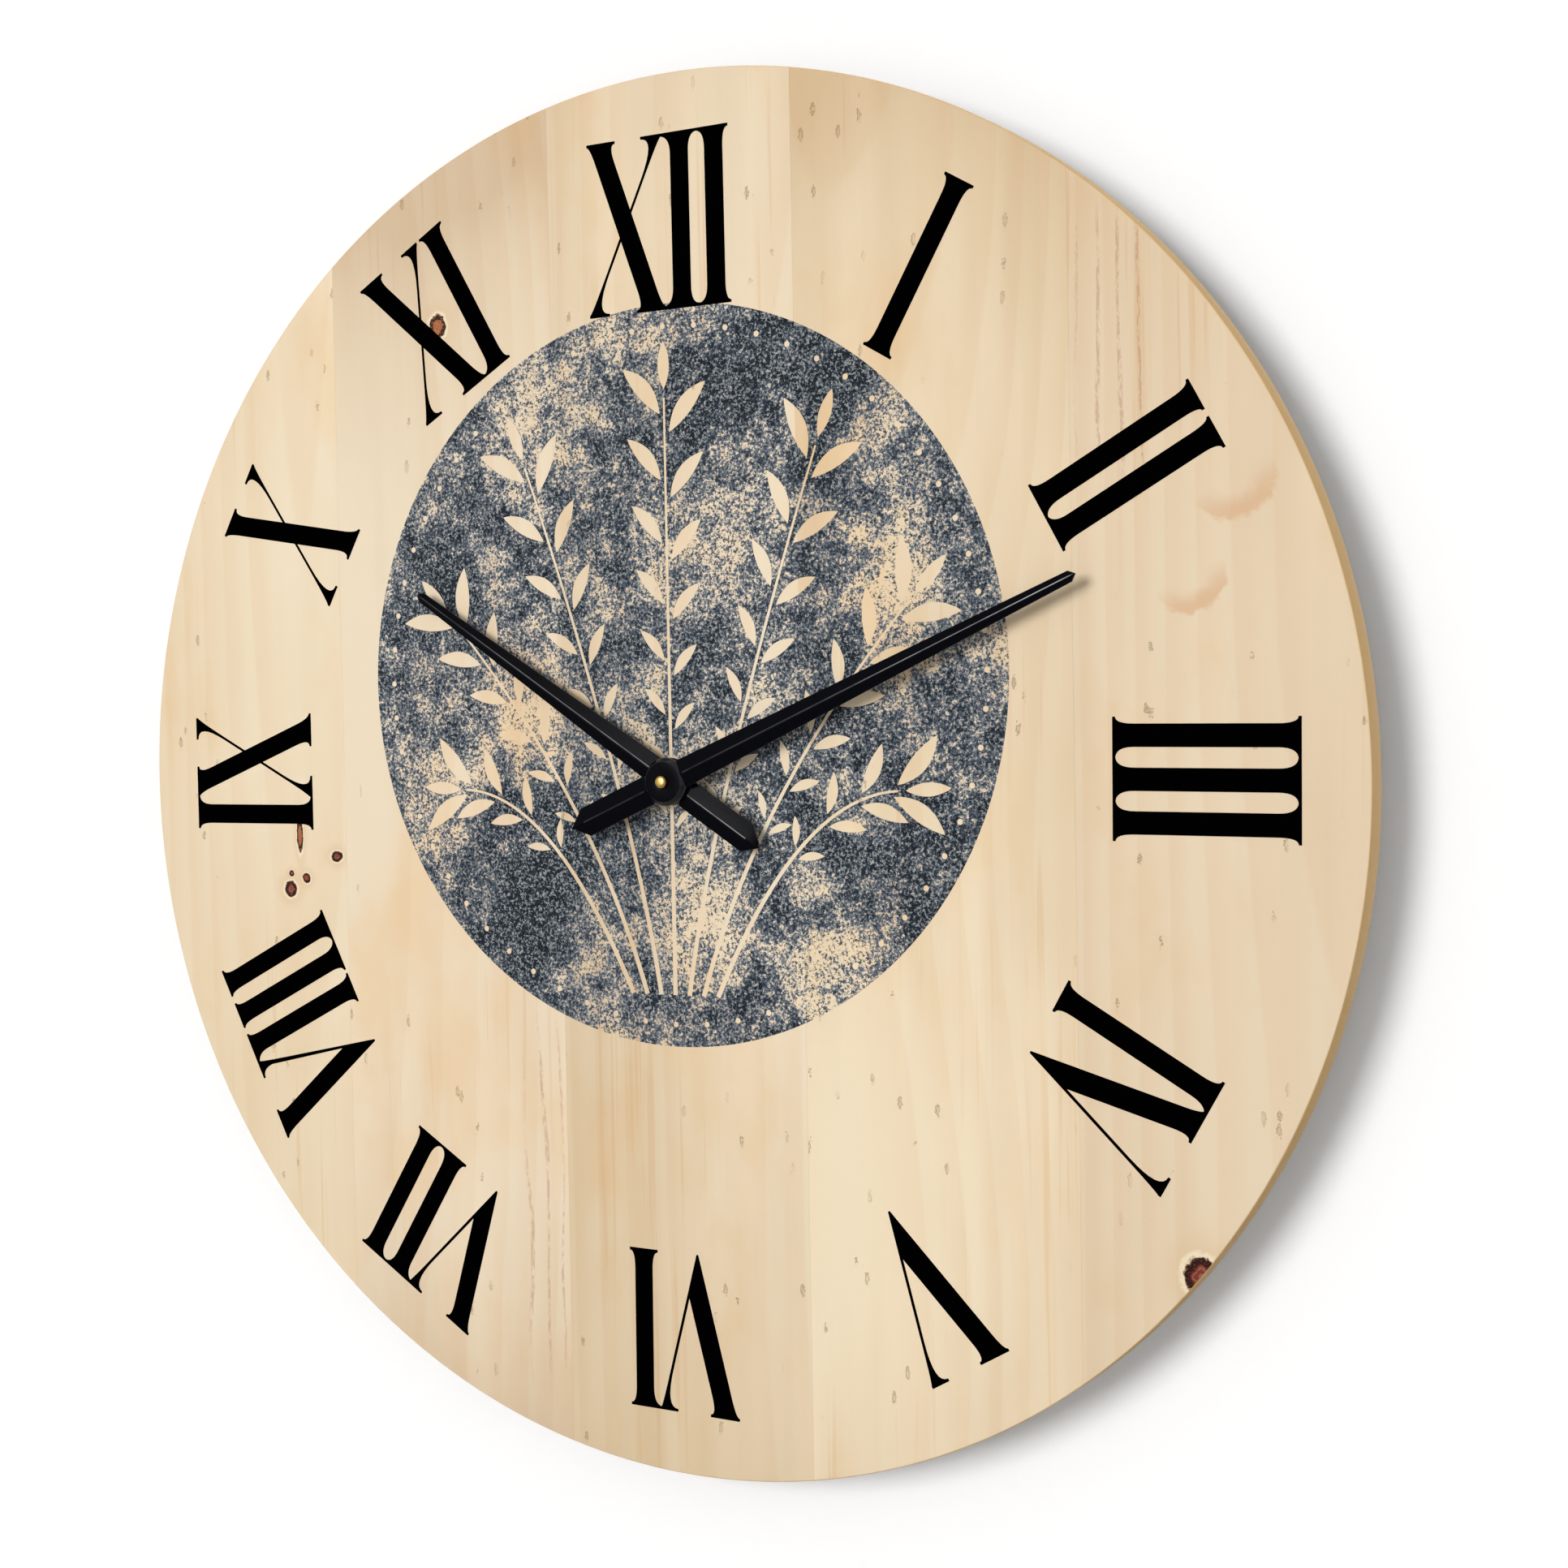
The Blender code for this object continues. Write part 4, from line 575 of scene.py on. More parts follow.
def sanded_pine(sockets, place, tints, seed, pith, tone=EVEN_TONE, place_on_board=None):
    """Sets the gloss of sanded pine and returns its colour and height, before what one board adds."""
    pith_aside, pith_behind, ring_pitch = pith
    pith_inputs = {"Pith Aside": pith_aside, "Pith Behind": pith_behind, "Ring Pitch": ring_pitch}
    grain = use_group(grain_group, {"Vector": place, "Seed": seed, **pith_inputs})
    share = (grain["Streaks"] - 0.5) * STREAK_SHARE + tone[0]
    if place_on_board:
        across, along = place_on_board
        ends = maths("POWER", maths("ABSOLUTE", along), 4.0) * tone[3]
        for part in (across * tone[1], along * tone[2], ends):
            share = share + part
    colour = blend_of(share, tints[0], tints[1])
    dark = blend_of(1.0, colour, srgb(240, 208, 168), "MULTIPLY")
    warm = blend_of(1.0, colour, srgb(252, 232, 204), "MULTIPLY")
    colour = blend_of(grain["Blush"] * 0.55, colour, warm)
    colour = blend_of(grain["Rings"] * 0.13, colour, dark)
    colour = blend_of(grain["Lines"] * 0.3, colour, dark)
    feed(sockets, Roughness=span(grain["Fibres"], 0.3, 0.7, 0.42, 0.56, smooth=False))
    return colour, grain["Height"] * 0.12


def with_knots(place, colour, index):
    """Lays a board's knots and crescents over its colour."""
    for across, rise, reach in CRESCENTS.get(index, ()):
        crescent = {"Vector": place, "Centre": dial_point(across, rise), "Reach": reach * MM}
        mask = use_group(crescent_group, crescent)["Mask"]
        colour = blend_of(mask * 0.62, colour, srgb(216, 170, 126))
    for across, rise, width, height, is_red in KNOTS.get(index, ()):
        size = {"Across": width * MM, "Along": height * MM}
        knot = use_group(knot_group, {"Vector": place, "Centre": dial_point(across, rise), **size})
        colour = blend_of(knot["Halo"] * 0.42, colour, srgb(222, 186, 138))
        colour = blend_of(knot["Pale"] * 0.6, colour, PALE_FIBRE)
        heart, ringed = (RESIN_RED, RESIN_PINK) if is_red else (KNOT_TAN, RESIN_RED)
        heart = blend_of(knot["Growth"] * 0.55, heart, ringed)
        colour = blend_of(knot["Heart"] * 0.95, colour, heart)
        colour = blend_of(knot["Rim"] * 0.96, colour, KNOT_DARK)
    return colour


def pores_on(board, pores, aside, along):
    """Keeps the torn pores in their patch on one board, which fades towards its sides and ends."""
    across, rise, half_width, half_height = PORES[board]
    beside = (aside - across * RADIUS) / (half_width * RADIUS)
    beyond = (along - rise) / half_height
    inside = span(maths("ABSOLUTE", beside), 1.0, 0.7) * span(maths("ABSOLUTE", beyond), 1.0, 0.6)
    return pores * inside


def board_finish(index):
    material, sockets, place = new_material(f"pine_board_{index + 1}", Specular_IOR_Level=0.12)
    width = 2 * RADIUS / BOARDS
    middle = (index - (BOARDS - 1) / 2) * 2 * RADIUS / BOARDS
    axes = axes_of(place)
    across = (axes[0] - middle) / width
    along = (axes[2] - CENTRE_Z) / RADIUS
    pith = (middle + PITH_ASIDE[index], PITH_BEHIND[index], RING_PITCH)
    seed, tone = 11.3 * index, BOARD_TONES[index]
    colour, height = sanded_pine(sockets, place, BOARD_TINTS[index], seed, pith, tone, (across, along))
    marks = use_group(dents_group, {"Vector": place, "Seed": seed})
    if index in PORES:
        pores = pores_on(index, marks["Pores"], axes[0], along)
        colour = blend_of(pores * 0.42, colour, srgb(184, 116, 86))
        height = height - pores * 0.3
    colour = with_knots(place, colour, index)
    # Each dent is also coloured darker: painted shade in its hollow, on top of the bump below.
    colour = blend_of(marks["Dents"] * 0.4, colour, srgb(186, 152, 110))
    normal = add("TexCoord", {}, place.tree)["Normal"]
    # The edge's warmer tan is partly the sawn wood's own colour and partly painted warm bounce light.
    sawn_edge_and_painted_bounce = span(maths("ABSOLUTE", axes_of(normal)[1]), 0.97, 0.7)
    feed(sockets, Base_Color=blend_of(sawn_edge_and_painted_bounce, colour, srgb(226, 186, 126)))
    bump(sockets, height - marks["Dents"], 0.6 * MM, 0.8)
    return material


board_finishes = [board_finish(index) for index in range(BOARDS)]
print(len(board_finishes), "board finishes")

# %% [markdown]
# The disc is five boards glued edge to edge and then cut round, so each board is the part of a disc between
# two straight lines. Its outline is a top arc and a bottom arc. The rim is eased by hand with paper, so the
# rings that make the body have a slightly smaller radius at both faces. The middle board has the hole for
# the movement's bushing, and each board has the two pilot holes that its screws bite in.

# %% Five boards
RIM_EASE = 0.8 * MM
STEPS_PER_DEGREE = 2
JOINT_GAP = 0.02 * MM
PILOT_RADIUS = 2.2 * MM
BEYOND_DISC = 1.0


def arc_ends(left, right, radius):
    """The angles from upright where two upright lines meet a circle, or a quarter turn if they miss it."""
    return np.arcsin(np.clip([left / radius, right / radius], -1, 1))


def board_ring(left, right, count, radius, depth):
    """Points at angle a from upright: x = r sin a, z = r cos a on the top arc, and back along the bottom."""
    start, end = arc_ends(left, right, radius)
    a = np.linspace(start, end, count)
    top = np.stack([radius * np.sin(a), np.full_like(a, depth), radius * np.cos(a)], -1)
    return np.concatenate([top, top[::-1] * (1, 1, -1)]) + (0, 0, CENTRE_Z)


joint_lines = [-BEYOND_DISC]
for index in range(1, BOARDS):
    joint_lines.append((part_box(f"board_{index}")[1].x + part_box(f"board_{index + 1}")[0].x) / 2)
joint_lines.append(BEYOND_DISC)
t = np.linspace(0, np.pi / 2, 6)
ease_in, ease_deep = RIM_EASE * (1 - np.sin(t)), RIM_EASE * (1 - np.cos(t))
radii = RADIUS - np.concatenate([ease_in, ease_in[::-1]])
depths = np.concatenate([DIAL + ease_deep, BOARD_BACK - ease_deep[::-1]])
for index in range(BOARDS):
    left, right = joint_lines[index] + JOINT_GAP, joint_lines[index + 1] - JOINT_GAP
    start, end = arc_ends(left, right, RADIUS)
    count = int(np.degrees(end - start) * STEPS_PER_DEGREE)
    rings = [board_ring(left, right, count, radius, depth) for radius, depth in zip(radii, depths)]
    board = shell(f"pine_board_{index + 1}", np.stack(rings))
    holes = []
    for row in ("upper", "lower"):
        low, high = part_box(f"{row}_batten_screw_{index + 1}")
        holes.append(rod("pilot", PILOT_RADIUS, low.y - MM / 2, BOARD_BACK + MM, 24, middle_of(low, high)))
    if index == BOARDS // 2:
        holes.append(rod("bore", bushing_radius + 0.2 * MM, DIAL - MM, BOARD_BACK + MM, 64, CENTRE))
    combined(board, holes)
    finished(board, "dial", board_finishes[index], [f"board_{index + 1}"])
print("Boards meet at x =", [round(line / MM, 1) for line in joint_lines[1:-1]])

# %% [markdown]
# The numerals are tall condensed Roman figures, printed in black, with their tops outwards. They are built
# from strokes: a thick one, and a hairline for the second leg of a V or an X. Each stroke ends in a flat
# serif that grows out of it on a concave curve, called a bracket. Strokes are thin prisms, joined by Boolean.

# %% Strokes with bracketed serifs
STEM = 0.0300
HAIRLINE = 0.0045
SERIF = 0.0040
STEM_BRACKET = 0.030
HAIR_BRACKET = 0.060
INK = 0.06 * MM


def bracket(start, corner, tip, steps=8):
    """A quadratic curve from a stroke's side to its serif's tip: (1-t)^2 P + 2t(1-t) C + t^2 Q."""
    t = np.linspace(0, 1, steps + 1)[:, None]
    return (1 - t) ** 2 * np.array(start) + 2 * t * (1 - t) * np.array(corner) + t ** 2 * np.array(tip)


def side_line(foot, head, height):
    """One side of a stroke, as a function of the height v: u = foot + (head - foot) v / height."""
    return lambda v: (foot + (head - foot) * v / height, v)


def serif(side, reach, deep, height, at_foot=False):
    """From a stroke's side out to the tip of one serif. The reach is negative to the left."""
    end, inner, far = (0, SERIF, deep) if at_foot else (height, height - SERIF, height - deep)
    tip = side(end)[0] + reach
    return np.concatenate([bracket(side(far), side(inner), (tip, inner)), [(tip, end)]])


def stroke(foot, head, width, reaches, deep, height):
    """A stroke's outline, from the places of its left side at foot and head, and from how far its serifs
    reach: head left, head right, foot left and foot right."""
    left, right = side_line(foot, head, height), side_line(foot + width, head + width, height)
    return np.concatenate([
        serif(right, reaches[3], deep, height, True)[::-1], serif(right, reaches[1], deep, height),
        serif(left, -reaches[0], deep, height)[::-1], serif(left, -reaches[2], deep, height, True),
    ])


# %% [markdown]
# An I is one thick stroke. An X is a thick stroke crossed by a hairline. A V is drawn as one outline, because
# its two strokes run together into a point. Sizes are shares of the disc's radius, with u to the right of the
# letter's own middle and v from its foot outwards.

# %% The three letters
X_THICK = 0.0325
V_THICK = 0.033


def letter_i(height, reaches):
    return [stroke(-STEM / 2, -STEM / 2, STEM, reaches, STEM_BRACKET, height)]


def letter_x(height, reaches):
    thick = stroke(0.027, -0.062, X_THICK, (0.004, 0.0123, 0.013, 0.006), STEM_BRACKET, height)
    thin_reaches = (0.029, 0.001, 0.001, 0.029)
    thin = stroke(-0.0635 - HAIRLINE / 2, 0.0575 - HAIRLINE / 2, HAIRLINE, thin_reaches, HAIR_BRACKET, height)
    return [thick, thin]


def letter_v(height, reaches):
    """Outer sides run to the point. The counter ends where the inner sides meet, at a share
    (a - b) / (a - b + c - d) of the height, from their places a, b at the foot and d, c at the head."""
    outer_left, outer_right = side_line(-0.001, -0.063, height), side_line(0.002, 0.0639, height)
    a, d = -0.001 + V_THICK, -0.063 + V_THICK
    b, c = 0.002 - HAIRLINE, 0.0639 - HAIRLINE
    inner_left, inner_right = side_line(a, d, height), side_line(b, c, height)
    counter = inner_left(height * (a - b) / (a - b + c - d))
    return [np.concatenate([
        [outer_left(0), outer_right(0)],
        serif(outer_right, 0.0007, HAIR_BRACKET, height),
        serif(inner_right, -0.0236, HAIR_BRACKET, height)[::-1],
        [counter],
        serif(inner_left, 0.011, STEM_BRACKET, height),
        serif(outer_left, -0.0046, STEM_BRACKET, height)[::-1],
    ])]


LETTERS = {"I": letter_i, "V": letter_v, "X": letter_x}
print("Letters:", *LETTERS)

# %% [markdown]
# Letters stand so close that neighbouring serifs run together. So each I says how far its four serifs reach:
# free, close to the next, joined to another I, or joined to a V or an X. One numeral is a line of letters at
# given places, with the distance of their feet from the dial's centre, their height and a small turn.

# %% Twelve numerals
FREE, CLOSE, JOIN, LONG = 0.009, 0.0065, 0.0150, 0.0200
ALL_FREE = (FREE, FREE, FREE, FREE)
NUMERALS = [
    (0.667, 0.251, 0.5, [("I", -0.003, ALL_FREE)]),
    (0.668, 0.252, 1.3, [("I", -0.036, (FREE, CLOSE, FREE, JOIN)), ("I", 0.017, (CLOSE, FREE, JOIN, FREE))]),
    (0.662, 0.250, 0.5, [
        ("I", -0.0595, (FREE, JOIN, FREE, JOIN)), ("I", -0.003, (JOIN, JOIN, JOIN, JOIN)),
        ("I", 0.053, (JOIN, FREE, JOIN, FREE)),
    ]),
    (0.647, 0.244, 0.0, [("I", -0.050, (FREE, JOIN, FREE, FREE)), ("V", 0.038, None)]),
    (0.673, 0.237, 0.0, [("V", 0.010, None)]),
    (0.679, 0.232, 0.5, [("V", -0.0185, None), ("I", 0.0735, (JOIN, FREE, FREE, FREE))]),
    (0.702, 0.224, 2.0, [
        ("V", -0.0195, None), ("I", 0.071, (LONG, JOIN, FREE, JOIN)), ("I", 0.127, (JOIN, FREE, JOIN, FREE)),
    ]),
    (0.684, 0.237, 3.4, [
        ("V", -0.067, None), ("I", 0.024, (LONG, CLOSE, FREE, FREE)),
        ("I", 0.078, (CLOSE, CLOSE, FREE, JOIN)), ("I", 0.133, (CLOSE, FREE, JOIN, FREE)),
    ]),
    (0.675, 0.240, 0.0, [("I", -0.053, (FREE, JOIN, FREE, JOIN)), ("X", 0.040, None)]),
    (0.683, 0.244, -0.7, [("X", -0.0145, None)]),
    (0.680, 0.246, 0.0, [("X", -0.041, None), ("I", 0.0495, (FREE, FREE, JOIN, FREE))]),
    (0.668, 0.248, -0.3, [
        ("X", -0.066, None), ("I", 0.0245, (LONG, JOIN, LONG, JOIN)), ("I", 0.081, (JOIN, FREE, JOIN, FREE)),
    ]),
]


def on_dial(outline, hour, foot, turn):
    """Carries (u, v) to (x, z): v runs outwards at the hour's clock angle and u to the right of it. The small
    turn is clockwise, about the foot of the numeral."""
    angle, lean = np.radians(30 * hour), np.radians(turn)
    u, v = np.asarray(outline, float).T
    u, v = u * np.cos(lean) + v * np.sin(lean), v * np.cos(lean) - u * np.sin(lean) + foot
    x = u * np.cos(angle) + v * np.sin(angle)
    z = v * np.cos(angle) - u * np.sin(angle)
    return np.stack([x, z], -1) * RADIUS + (0, CENTRE_Z)


# %% [markdown]
# The ink is a film a few hundredths of a millimetre thick that stands on the wood, so it has edges of its own
# and shows from the side as it really would. It is nearly pure black and not very glossy, and the wood's
# fibres print through it.

# %% Print the numerals
FILM_SINK = 0.02 * MM
ink_finish, sockets, place = new_material("numeral_ink", Specular_IOR_Level=0.0)
grain = use_group(grain_group, {"Vector": place})
worn = noise(place, 700.0, 2.0, 0.6)
black = blend_of(worn, srgb(0, 0, 0), srgb(3, 3, 3))
feed(sockets, Base_Color=black, Roughness=span(worn, 0.3, 0.7, 0.5, 0.65, smooth=False))
bump(sockets, grain["Fibres"], 0.03 * MM, 0.4)
for hour, (foot, height, turn, letters) in enumerate(NUMERALS, 1):
    strokes = []
    for letter, u, reaches in letters:
        for outline in LETTERS[letter](height, reaches):
            points = on_dial(outline + (u, 0.0), hour, foot, turn)
            strokes.append(plate(f"numeral_{hour}", points, DIAL - INK, DIAL + FILM_SINK))
    numeral = combined(strokes[0], strokes[1:], "UNION")
    finished(numeral, "dial", ink_finish)
print(hour, "numerals printed")

# %% [markdown]
# A large round print fills the middle of the dial. It is a plain ornament of leafy sprigs that fan out from
# the foot of the circle, left bare in a ground of mottled slate-blue ink. A sprig is a stem, which is a band
# along a quadratic curve, and pairs of leaves. Each leaf is a lens: its half-width follows the sine of the
# way along it. Nothing touches, as on a stencil, so one Boolean cuts all of them out of the film at once.

# %% A leafy stencil
PRINT_RADIUS = 0.529 * RADIUS
PRINT_CENTRE = np.array([-0.010 * RADIUS, CENTRE_Z + 0.148 * RADIUS])
PRINT_INK = 0.03 * MM
SPRIG_SPREAD = math.radians(38)
LEAF_ANGLE = math.radians(42)
LEAF_PITCH = 0.12
STEM_HALF = 0.006
LEAF_OFFSET = 0.022
DOT_RADIUS, DOT_RING, DOT_DEGREES = 0.008, 0.94, 6


def stem_line(index, t):
    """A quadratic curve from the circle's foot to a place on a smaller circle, in shares of its radius."""
    foot = np.array([0.045 * index, -0.86])
    bend = np.array([0.13 * index, -0.32])
    tip = 0.75 * np.array([math.sin(index * SPRIG_SPREAD), math.cos(index * SPRIG_SPREAD)])
    t = np.asarray(t, float)[..., None]
    point = (1 - t) ** 2 * foot + 2 * t * (1 - t) * bend + t ** 2 * tip
    along = 2 * (1 - t) * (bend - foot) + 2 * t * (tip - bend)
    return point, along / np.linalg.norm(along, axis=-1, keepdims=True)


def leaf(base, along, length, bow):
    """A lens of half-width w sin(pi t)^0.85 about a midrib that bows sideways by bow 4 t (1 - t) of its
    length."""
    t = np.linspace(0, 1, 13)[:, None]
    aside = np.array([-along[1], along[0]])
    rib = base + along * length * t + aside * bow * length * 4 * t * (1 - t)
    half = aside * 0.14 * length * np.sin(np.pi * t) ** 0.85
    return np.concatenate([rib - half, (rib + half)[-2:0:-1]])


def sprig(index):
    t = np.linspace(0, 1, 40)
    point, along = stem_line(index, t)
    aside = np.stack([-along[:, 1], along[:, 0]], -1) * STEM_HALF * (1.2 - t[:, None] * 0.7)
    outlines = [np.concatenate([point - aside, (point + aside)[::-1]])]
    stem_length = np.sum(np.linalg.norm(np.diff(point, axis=0), axis=1))
    first_leaf = 0.36 + 0.03 * abs(index)
    for place_along in np.linspace(first_leaf, 0.96, int(0.62 * stem_length / LEAF_PITCH)):
        for side in (-1, 1):
            base, along = stem_line(index, place_along + 0.012 * side)
            turn = side * LEAF_ANGLE
            turned_along = np.array([
                along[0] * math.cos(turn) - along[1] * math.sin(turn),
                along[0] * math.sin(turn) + along[1] * math.cos(turn),
            ])
            base = base + turned_along * LEAF_OFFSET
            outlines.append(leaf(base, turned_along, 0.18 * place_along, -0.05 * side))
    tip, along = stem_line(index, 1.0)
    outlines.append(leaf(tip + along * LEAF_OFFSET, along, 0.13, 0.0))
    return outlines


bare = [outline for index in range(-3, 4) for outline in sprig(index)]
for a in np.radians(np.arange(0, 360, DOT_DEGREES)):
    bare.append(circle(DOT_RADIUS, 12, DOT_RING * np.array([math.cos(a), math.sin(a)])))
cutters = [plate("bare", outline * PRINT_RADIUS + PRINT_CENTRE, DIAL - MM, DIAL + MM) for outline in bare]
ground = plate("printed_ground", circle(PRINT_RADIUS, 240, PRINT_CENTRE), DIAL - PRINT_INK, DIAL + FILM_SINK)
combined(ground, [one_mesh("stencil", cutters)])
print(len(bare), "shapes left bare in the print")

# %% [markdown]
# The print was made to look worn and stippled: flecks of bare wood show between the specks of ink, closer in
# some clouds and sparser in others. That is a mask on Alpha, so that the real board shows through.

# %% Mottled ink
mottled_ink, sockets, place = new_material("mottled_ink", Specular_IOR_Level=0.05)
clouds = noise(place, 17.0, 7.0, 0.66)
blotch = noise(place, 110.0, 4.0, 0.7)
stipple = noise(place, 800.0, 4.0, 0.8)
tone = clouds * 0.65 + blotch * 0.35
slate = blend_of(span(tone, 0.42, 0.52), srgb(156, 168, 180), srgb(92, 102, 114))
slate = blend_of(span(tone, 0.48, 0.58), slate, srgb(34, 39, 47))
slate = blend_of(span(stipple, 0.5, 0.58) * 0.85, slate, srgb(26, 32, 42))
slate = blend_of(span(stipple, 0.49, 0.4) * 0.6, slate, srgb(196, 204, 206))
gloss = span(stipple, 0.3, 0.7, 0.55, 0.7, smooth=False)
ink_left = span(stipple + (tone - 0.5) * 1.3, 0.39, 0.47)
feed(sockets, Base_Color=slate, Roughness=gloss, Alpha=ink_left)
bump(sockets, stipple, 0.02 * MM, 0.3)
finished(ground, "dial", mottled_ink)

# %% [markdown]
# Turned and stamped metal shows the tool's marks: fine rings round the axis on a lathe, random scratches from
# handling. One group makes both. Rings follow the distance from an axis along Y, and scratches are noise
# squeezed along one direction. Each metal then sets its own colours and gloss.

# %% Metal finishes
TOOL_MARKS = {"Vector": (0.0, 0.0, 0.0), "Axis": (0.0, 0.0, 0.0), "Ring Pitch": 0.0002}
marks_group, given, result = new_group("tool_marks", TOOL_MARKS, ("Rings", "Scratches", "Patches"))
away = (given["Vector"] - given["Axis"]) * (1.0, 0.0, 1.0)
rings_out = length_of(away) / given["Ring Pitch"]
rings = add("TexNoise", {"W": rings_out, "Scale": 1.0, "Detail": 2.0}, noise_dimensions="1D")["Fac"]
scratches = noise(given["Vector"], 900.0, 2.0, 0.6, 0.06)
feed(result, Rings=rings, Scratches=scratches, Patches=noise(given["Vector"], 160.0, 3.0, 0.6))


def metal(name, light, dark, rough, relief=0.01 * MM, metallic=1.0, axis=(0.0, 0.0, CENTRE_Z), **values):
    """A metal between two colours, with a roughness range, and tool marks about an axis along Y."""
    material, sockets, place = new_material(name, Metallic=metallic, **values)
    marks = use_group(marks_group, {"Vector": place, "Axis": axis})
    feed(sockets, Base_Color=blend_of(marks["Patches"], dark, light))
    mixed = (marks["Scratches"] + marks["Patches"]) * 0.5
    feed(sockets, Roughness=span(mixed, 0.3, 0.7, *rough, smooth=False))
    bump(sockets, marks["Rings"] * 0.6 + marks["Scratches"], relief, 0.5)
    return material


brass = metal("brass", srgb(222, 184, 112), srgb(196, 154, 84), (0.18, 0.34))
zinc = metal("zinc_steel", srgb(206, 208, 210), srgb(170, 173, 176), (0.24, 0.44), 0.02 * MM)
hand_black = metal(
    "hand_black", srgb(10, 11, 16), srgb(7, 7, 11), (0.2, 0.26), 0.004 * MM, 0.0, Specular_IOR_Level=0.03,
    Coat_Roughness=0.12,
)
print("Metals ready")

# %% [markdown]
# The hands are painted a dull black after they are pressed. Fingers polish that paint where they touch it:
# on the ridge of each blade and on the sloping skirt of the hub, which then catch the light as thin bright
# lines. The sheared edges are coloured a lighter grey, a painted highlight for the light that those bent
# edges reflect. The object's own normal tells these places apart: it points straight out on a ridge, sideways
# on an edge, and in between on the skirt, which lies close to the axis.

# %% Polished paint and painted edge highlights of the hands
HUB_REACH = 10.6 * MM
tree = hand_black.node_tree
paint = tree.nodes["Principled BSDF"].inputs
colour = Signal(paint["Base Color"].links[0].from_socket)
coordinates = add("TexCoord", {}, tree)
facing = maths("ABSOLUTE", axes_of(coordinates["Normal"])[1])
# Sheared edges are coloured a lighter grey here, a painted highlight for the light that they reflect.
painted_edge_highlight = blend_of(span(facing, 0.6, 0.25), colour, srgb(84, 85, 90))
away = (coordinates["Object"] - (0.0, 0.0, CENTRE_Z)) * (1.0, 0.0, 1.0)
outside = maths("GREATER_THAN", length_of(away), HUB_REACH)
crest = span(facing, 0.972, 0.99) * outside
skirt = span(facing, 0.95, 0.88) * (1.0 - outside)
wear = span(noise(coordinates["Object"], 90.0), 0.3, 0.6, 0.4, 1.0)
feed(paint, Base_Color=painted_edge_highlight, Coat_Weight=maths("MAXIMUM", crest, skirt) * wear)
print("Hands' paint:", len(tree.nodes), "nodes")

# %% [markdown]
# Both hands are pressed from steel sheet. A blade has a ridge along its middle, with two flat facets that
# slope to its edges, and it tapers evenly to a short point. The tail is the same, but of even width and
# shorter. Its surface is a function of two parameters: one runs round the section of the bent sheet, the
# other out along the blade. The ridge and the sheared edges are slightly round.

# %% Blades of the hands
SHEET = 0.7 * MM
RIDGE_SLOPE = 0.27
RIDGE_ROUND = 0.5 * MM
BLUNT_POINT = 0.05 * MM
EDGE_EASE = 0.12 * MM
BLADE_HALF_WIDTH = 6.4 * MM
TAIL_HALF_WIDTH = 6.5 * MM
TIP_HALF_WIDTH = 2.35 * MM
TAIL_LENGTH = 52.5 * MM
POINT_SHARE = 1.1
HUB_RADIUS = 8.7 * MM
HUB_SKIRT = 1.7 * MM


def blade_section(half, rise):
    """Round the section, as (u, height) points: along the top from edge to edge over the ridge, then back
    underneath. The top's height is SHEET + rise (1 - |u| / half)."""
    ease, crest = min(EDGE_EASE, half / 3), min(RIDGE_ROUND, half / 3)
    slope = rise / half
    top = [(-half, 0.0), (-half, SHEET - ease), (-half + ease, SHEET + slope * ease)]
    top += [(-crest, SHEET + rise - slope * crest), (-crest / 2, SHEET + rise - slope * crest * 0.62)]
    top += [(0.0, SHEET + rise - slope * crest * 0.5)]
    top = np.array(top)
    under = np.array([(0.0, rise)])
    return np.concatenate([top, top[-2::-1] * (-1, 1), under])


def blade_rings(start, end, start_half, end_half):
    """Sections out along v: the half-width falls evenly to the shoulder, and then to a point on a level
    ridge."""
    direction = math.copysign(1.0, end)
    shoulder = end - direction * POINT_SHARE * end_half
    rings = []
    for v, half in ((start, start_half), (shoulder, end_half), (end, BLUNT_POINT)):
        rise = RIDGE_SLOPE * max(half, end_half)
        section = blade_section(half, rise)
        rings.append(np.stack([section[:, 0], section[:, 1], np.full(len(section), v)], -1))
    return np.stack(rings)


def as_clock_hand(points, clock_angle, underside):
    """Carries (u, height, v) to x = u cos a + v sin a, y = underside - height, z = v cos a - u sin a."""
    u, height, v = np.moveaxis(np.asarray(points, float), -1, 0)
    x = u * math.cos(clock_angle) + v * math.sin(clock_angle)
    z = v * math.cos(clock_angle) - u * math.sin(clock_angle)
    return np.stack([x, underside - height, CENTRE_Z + z], -1)


print("Ridges rise", round(RIDGE_SLOPE * BLADE_HALF_WIDTH / MM, 1), "mm above the edges")

# %% [markdown]
# The hub is pressed up from the same sheet: a flat round top, a sloping skirt and a small sunk seat for the
# nut. It is turned, because it is round, and joined to the two blades by Boolean.

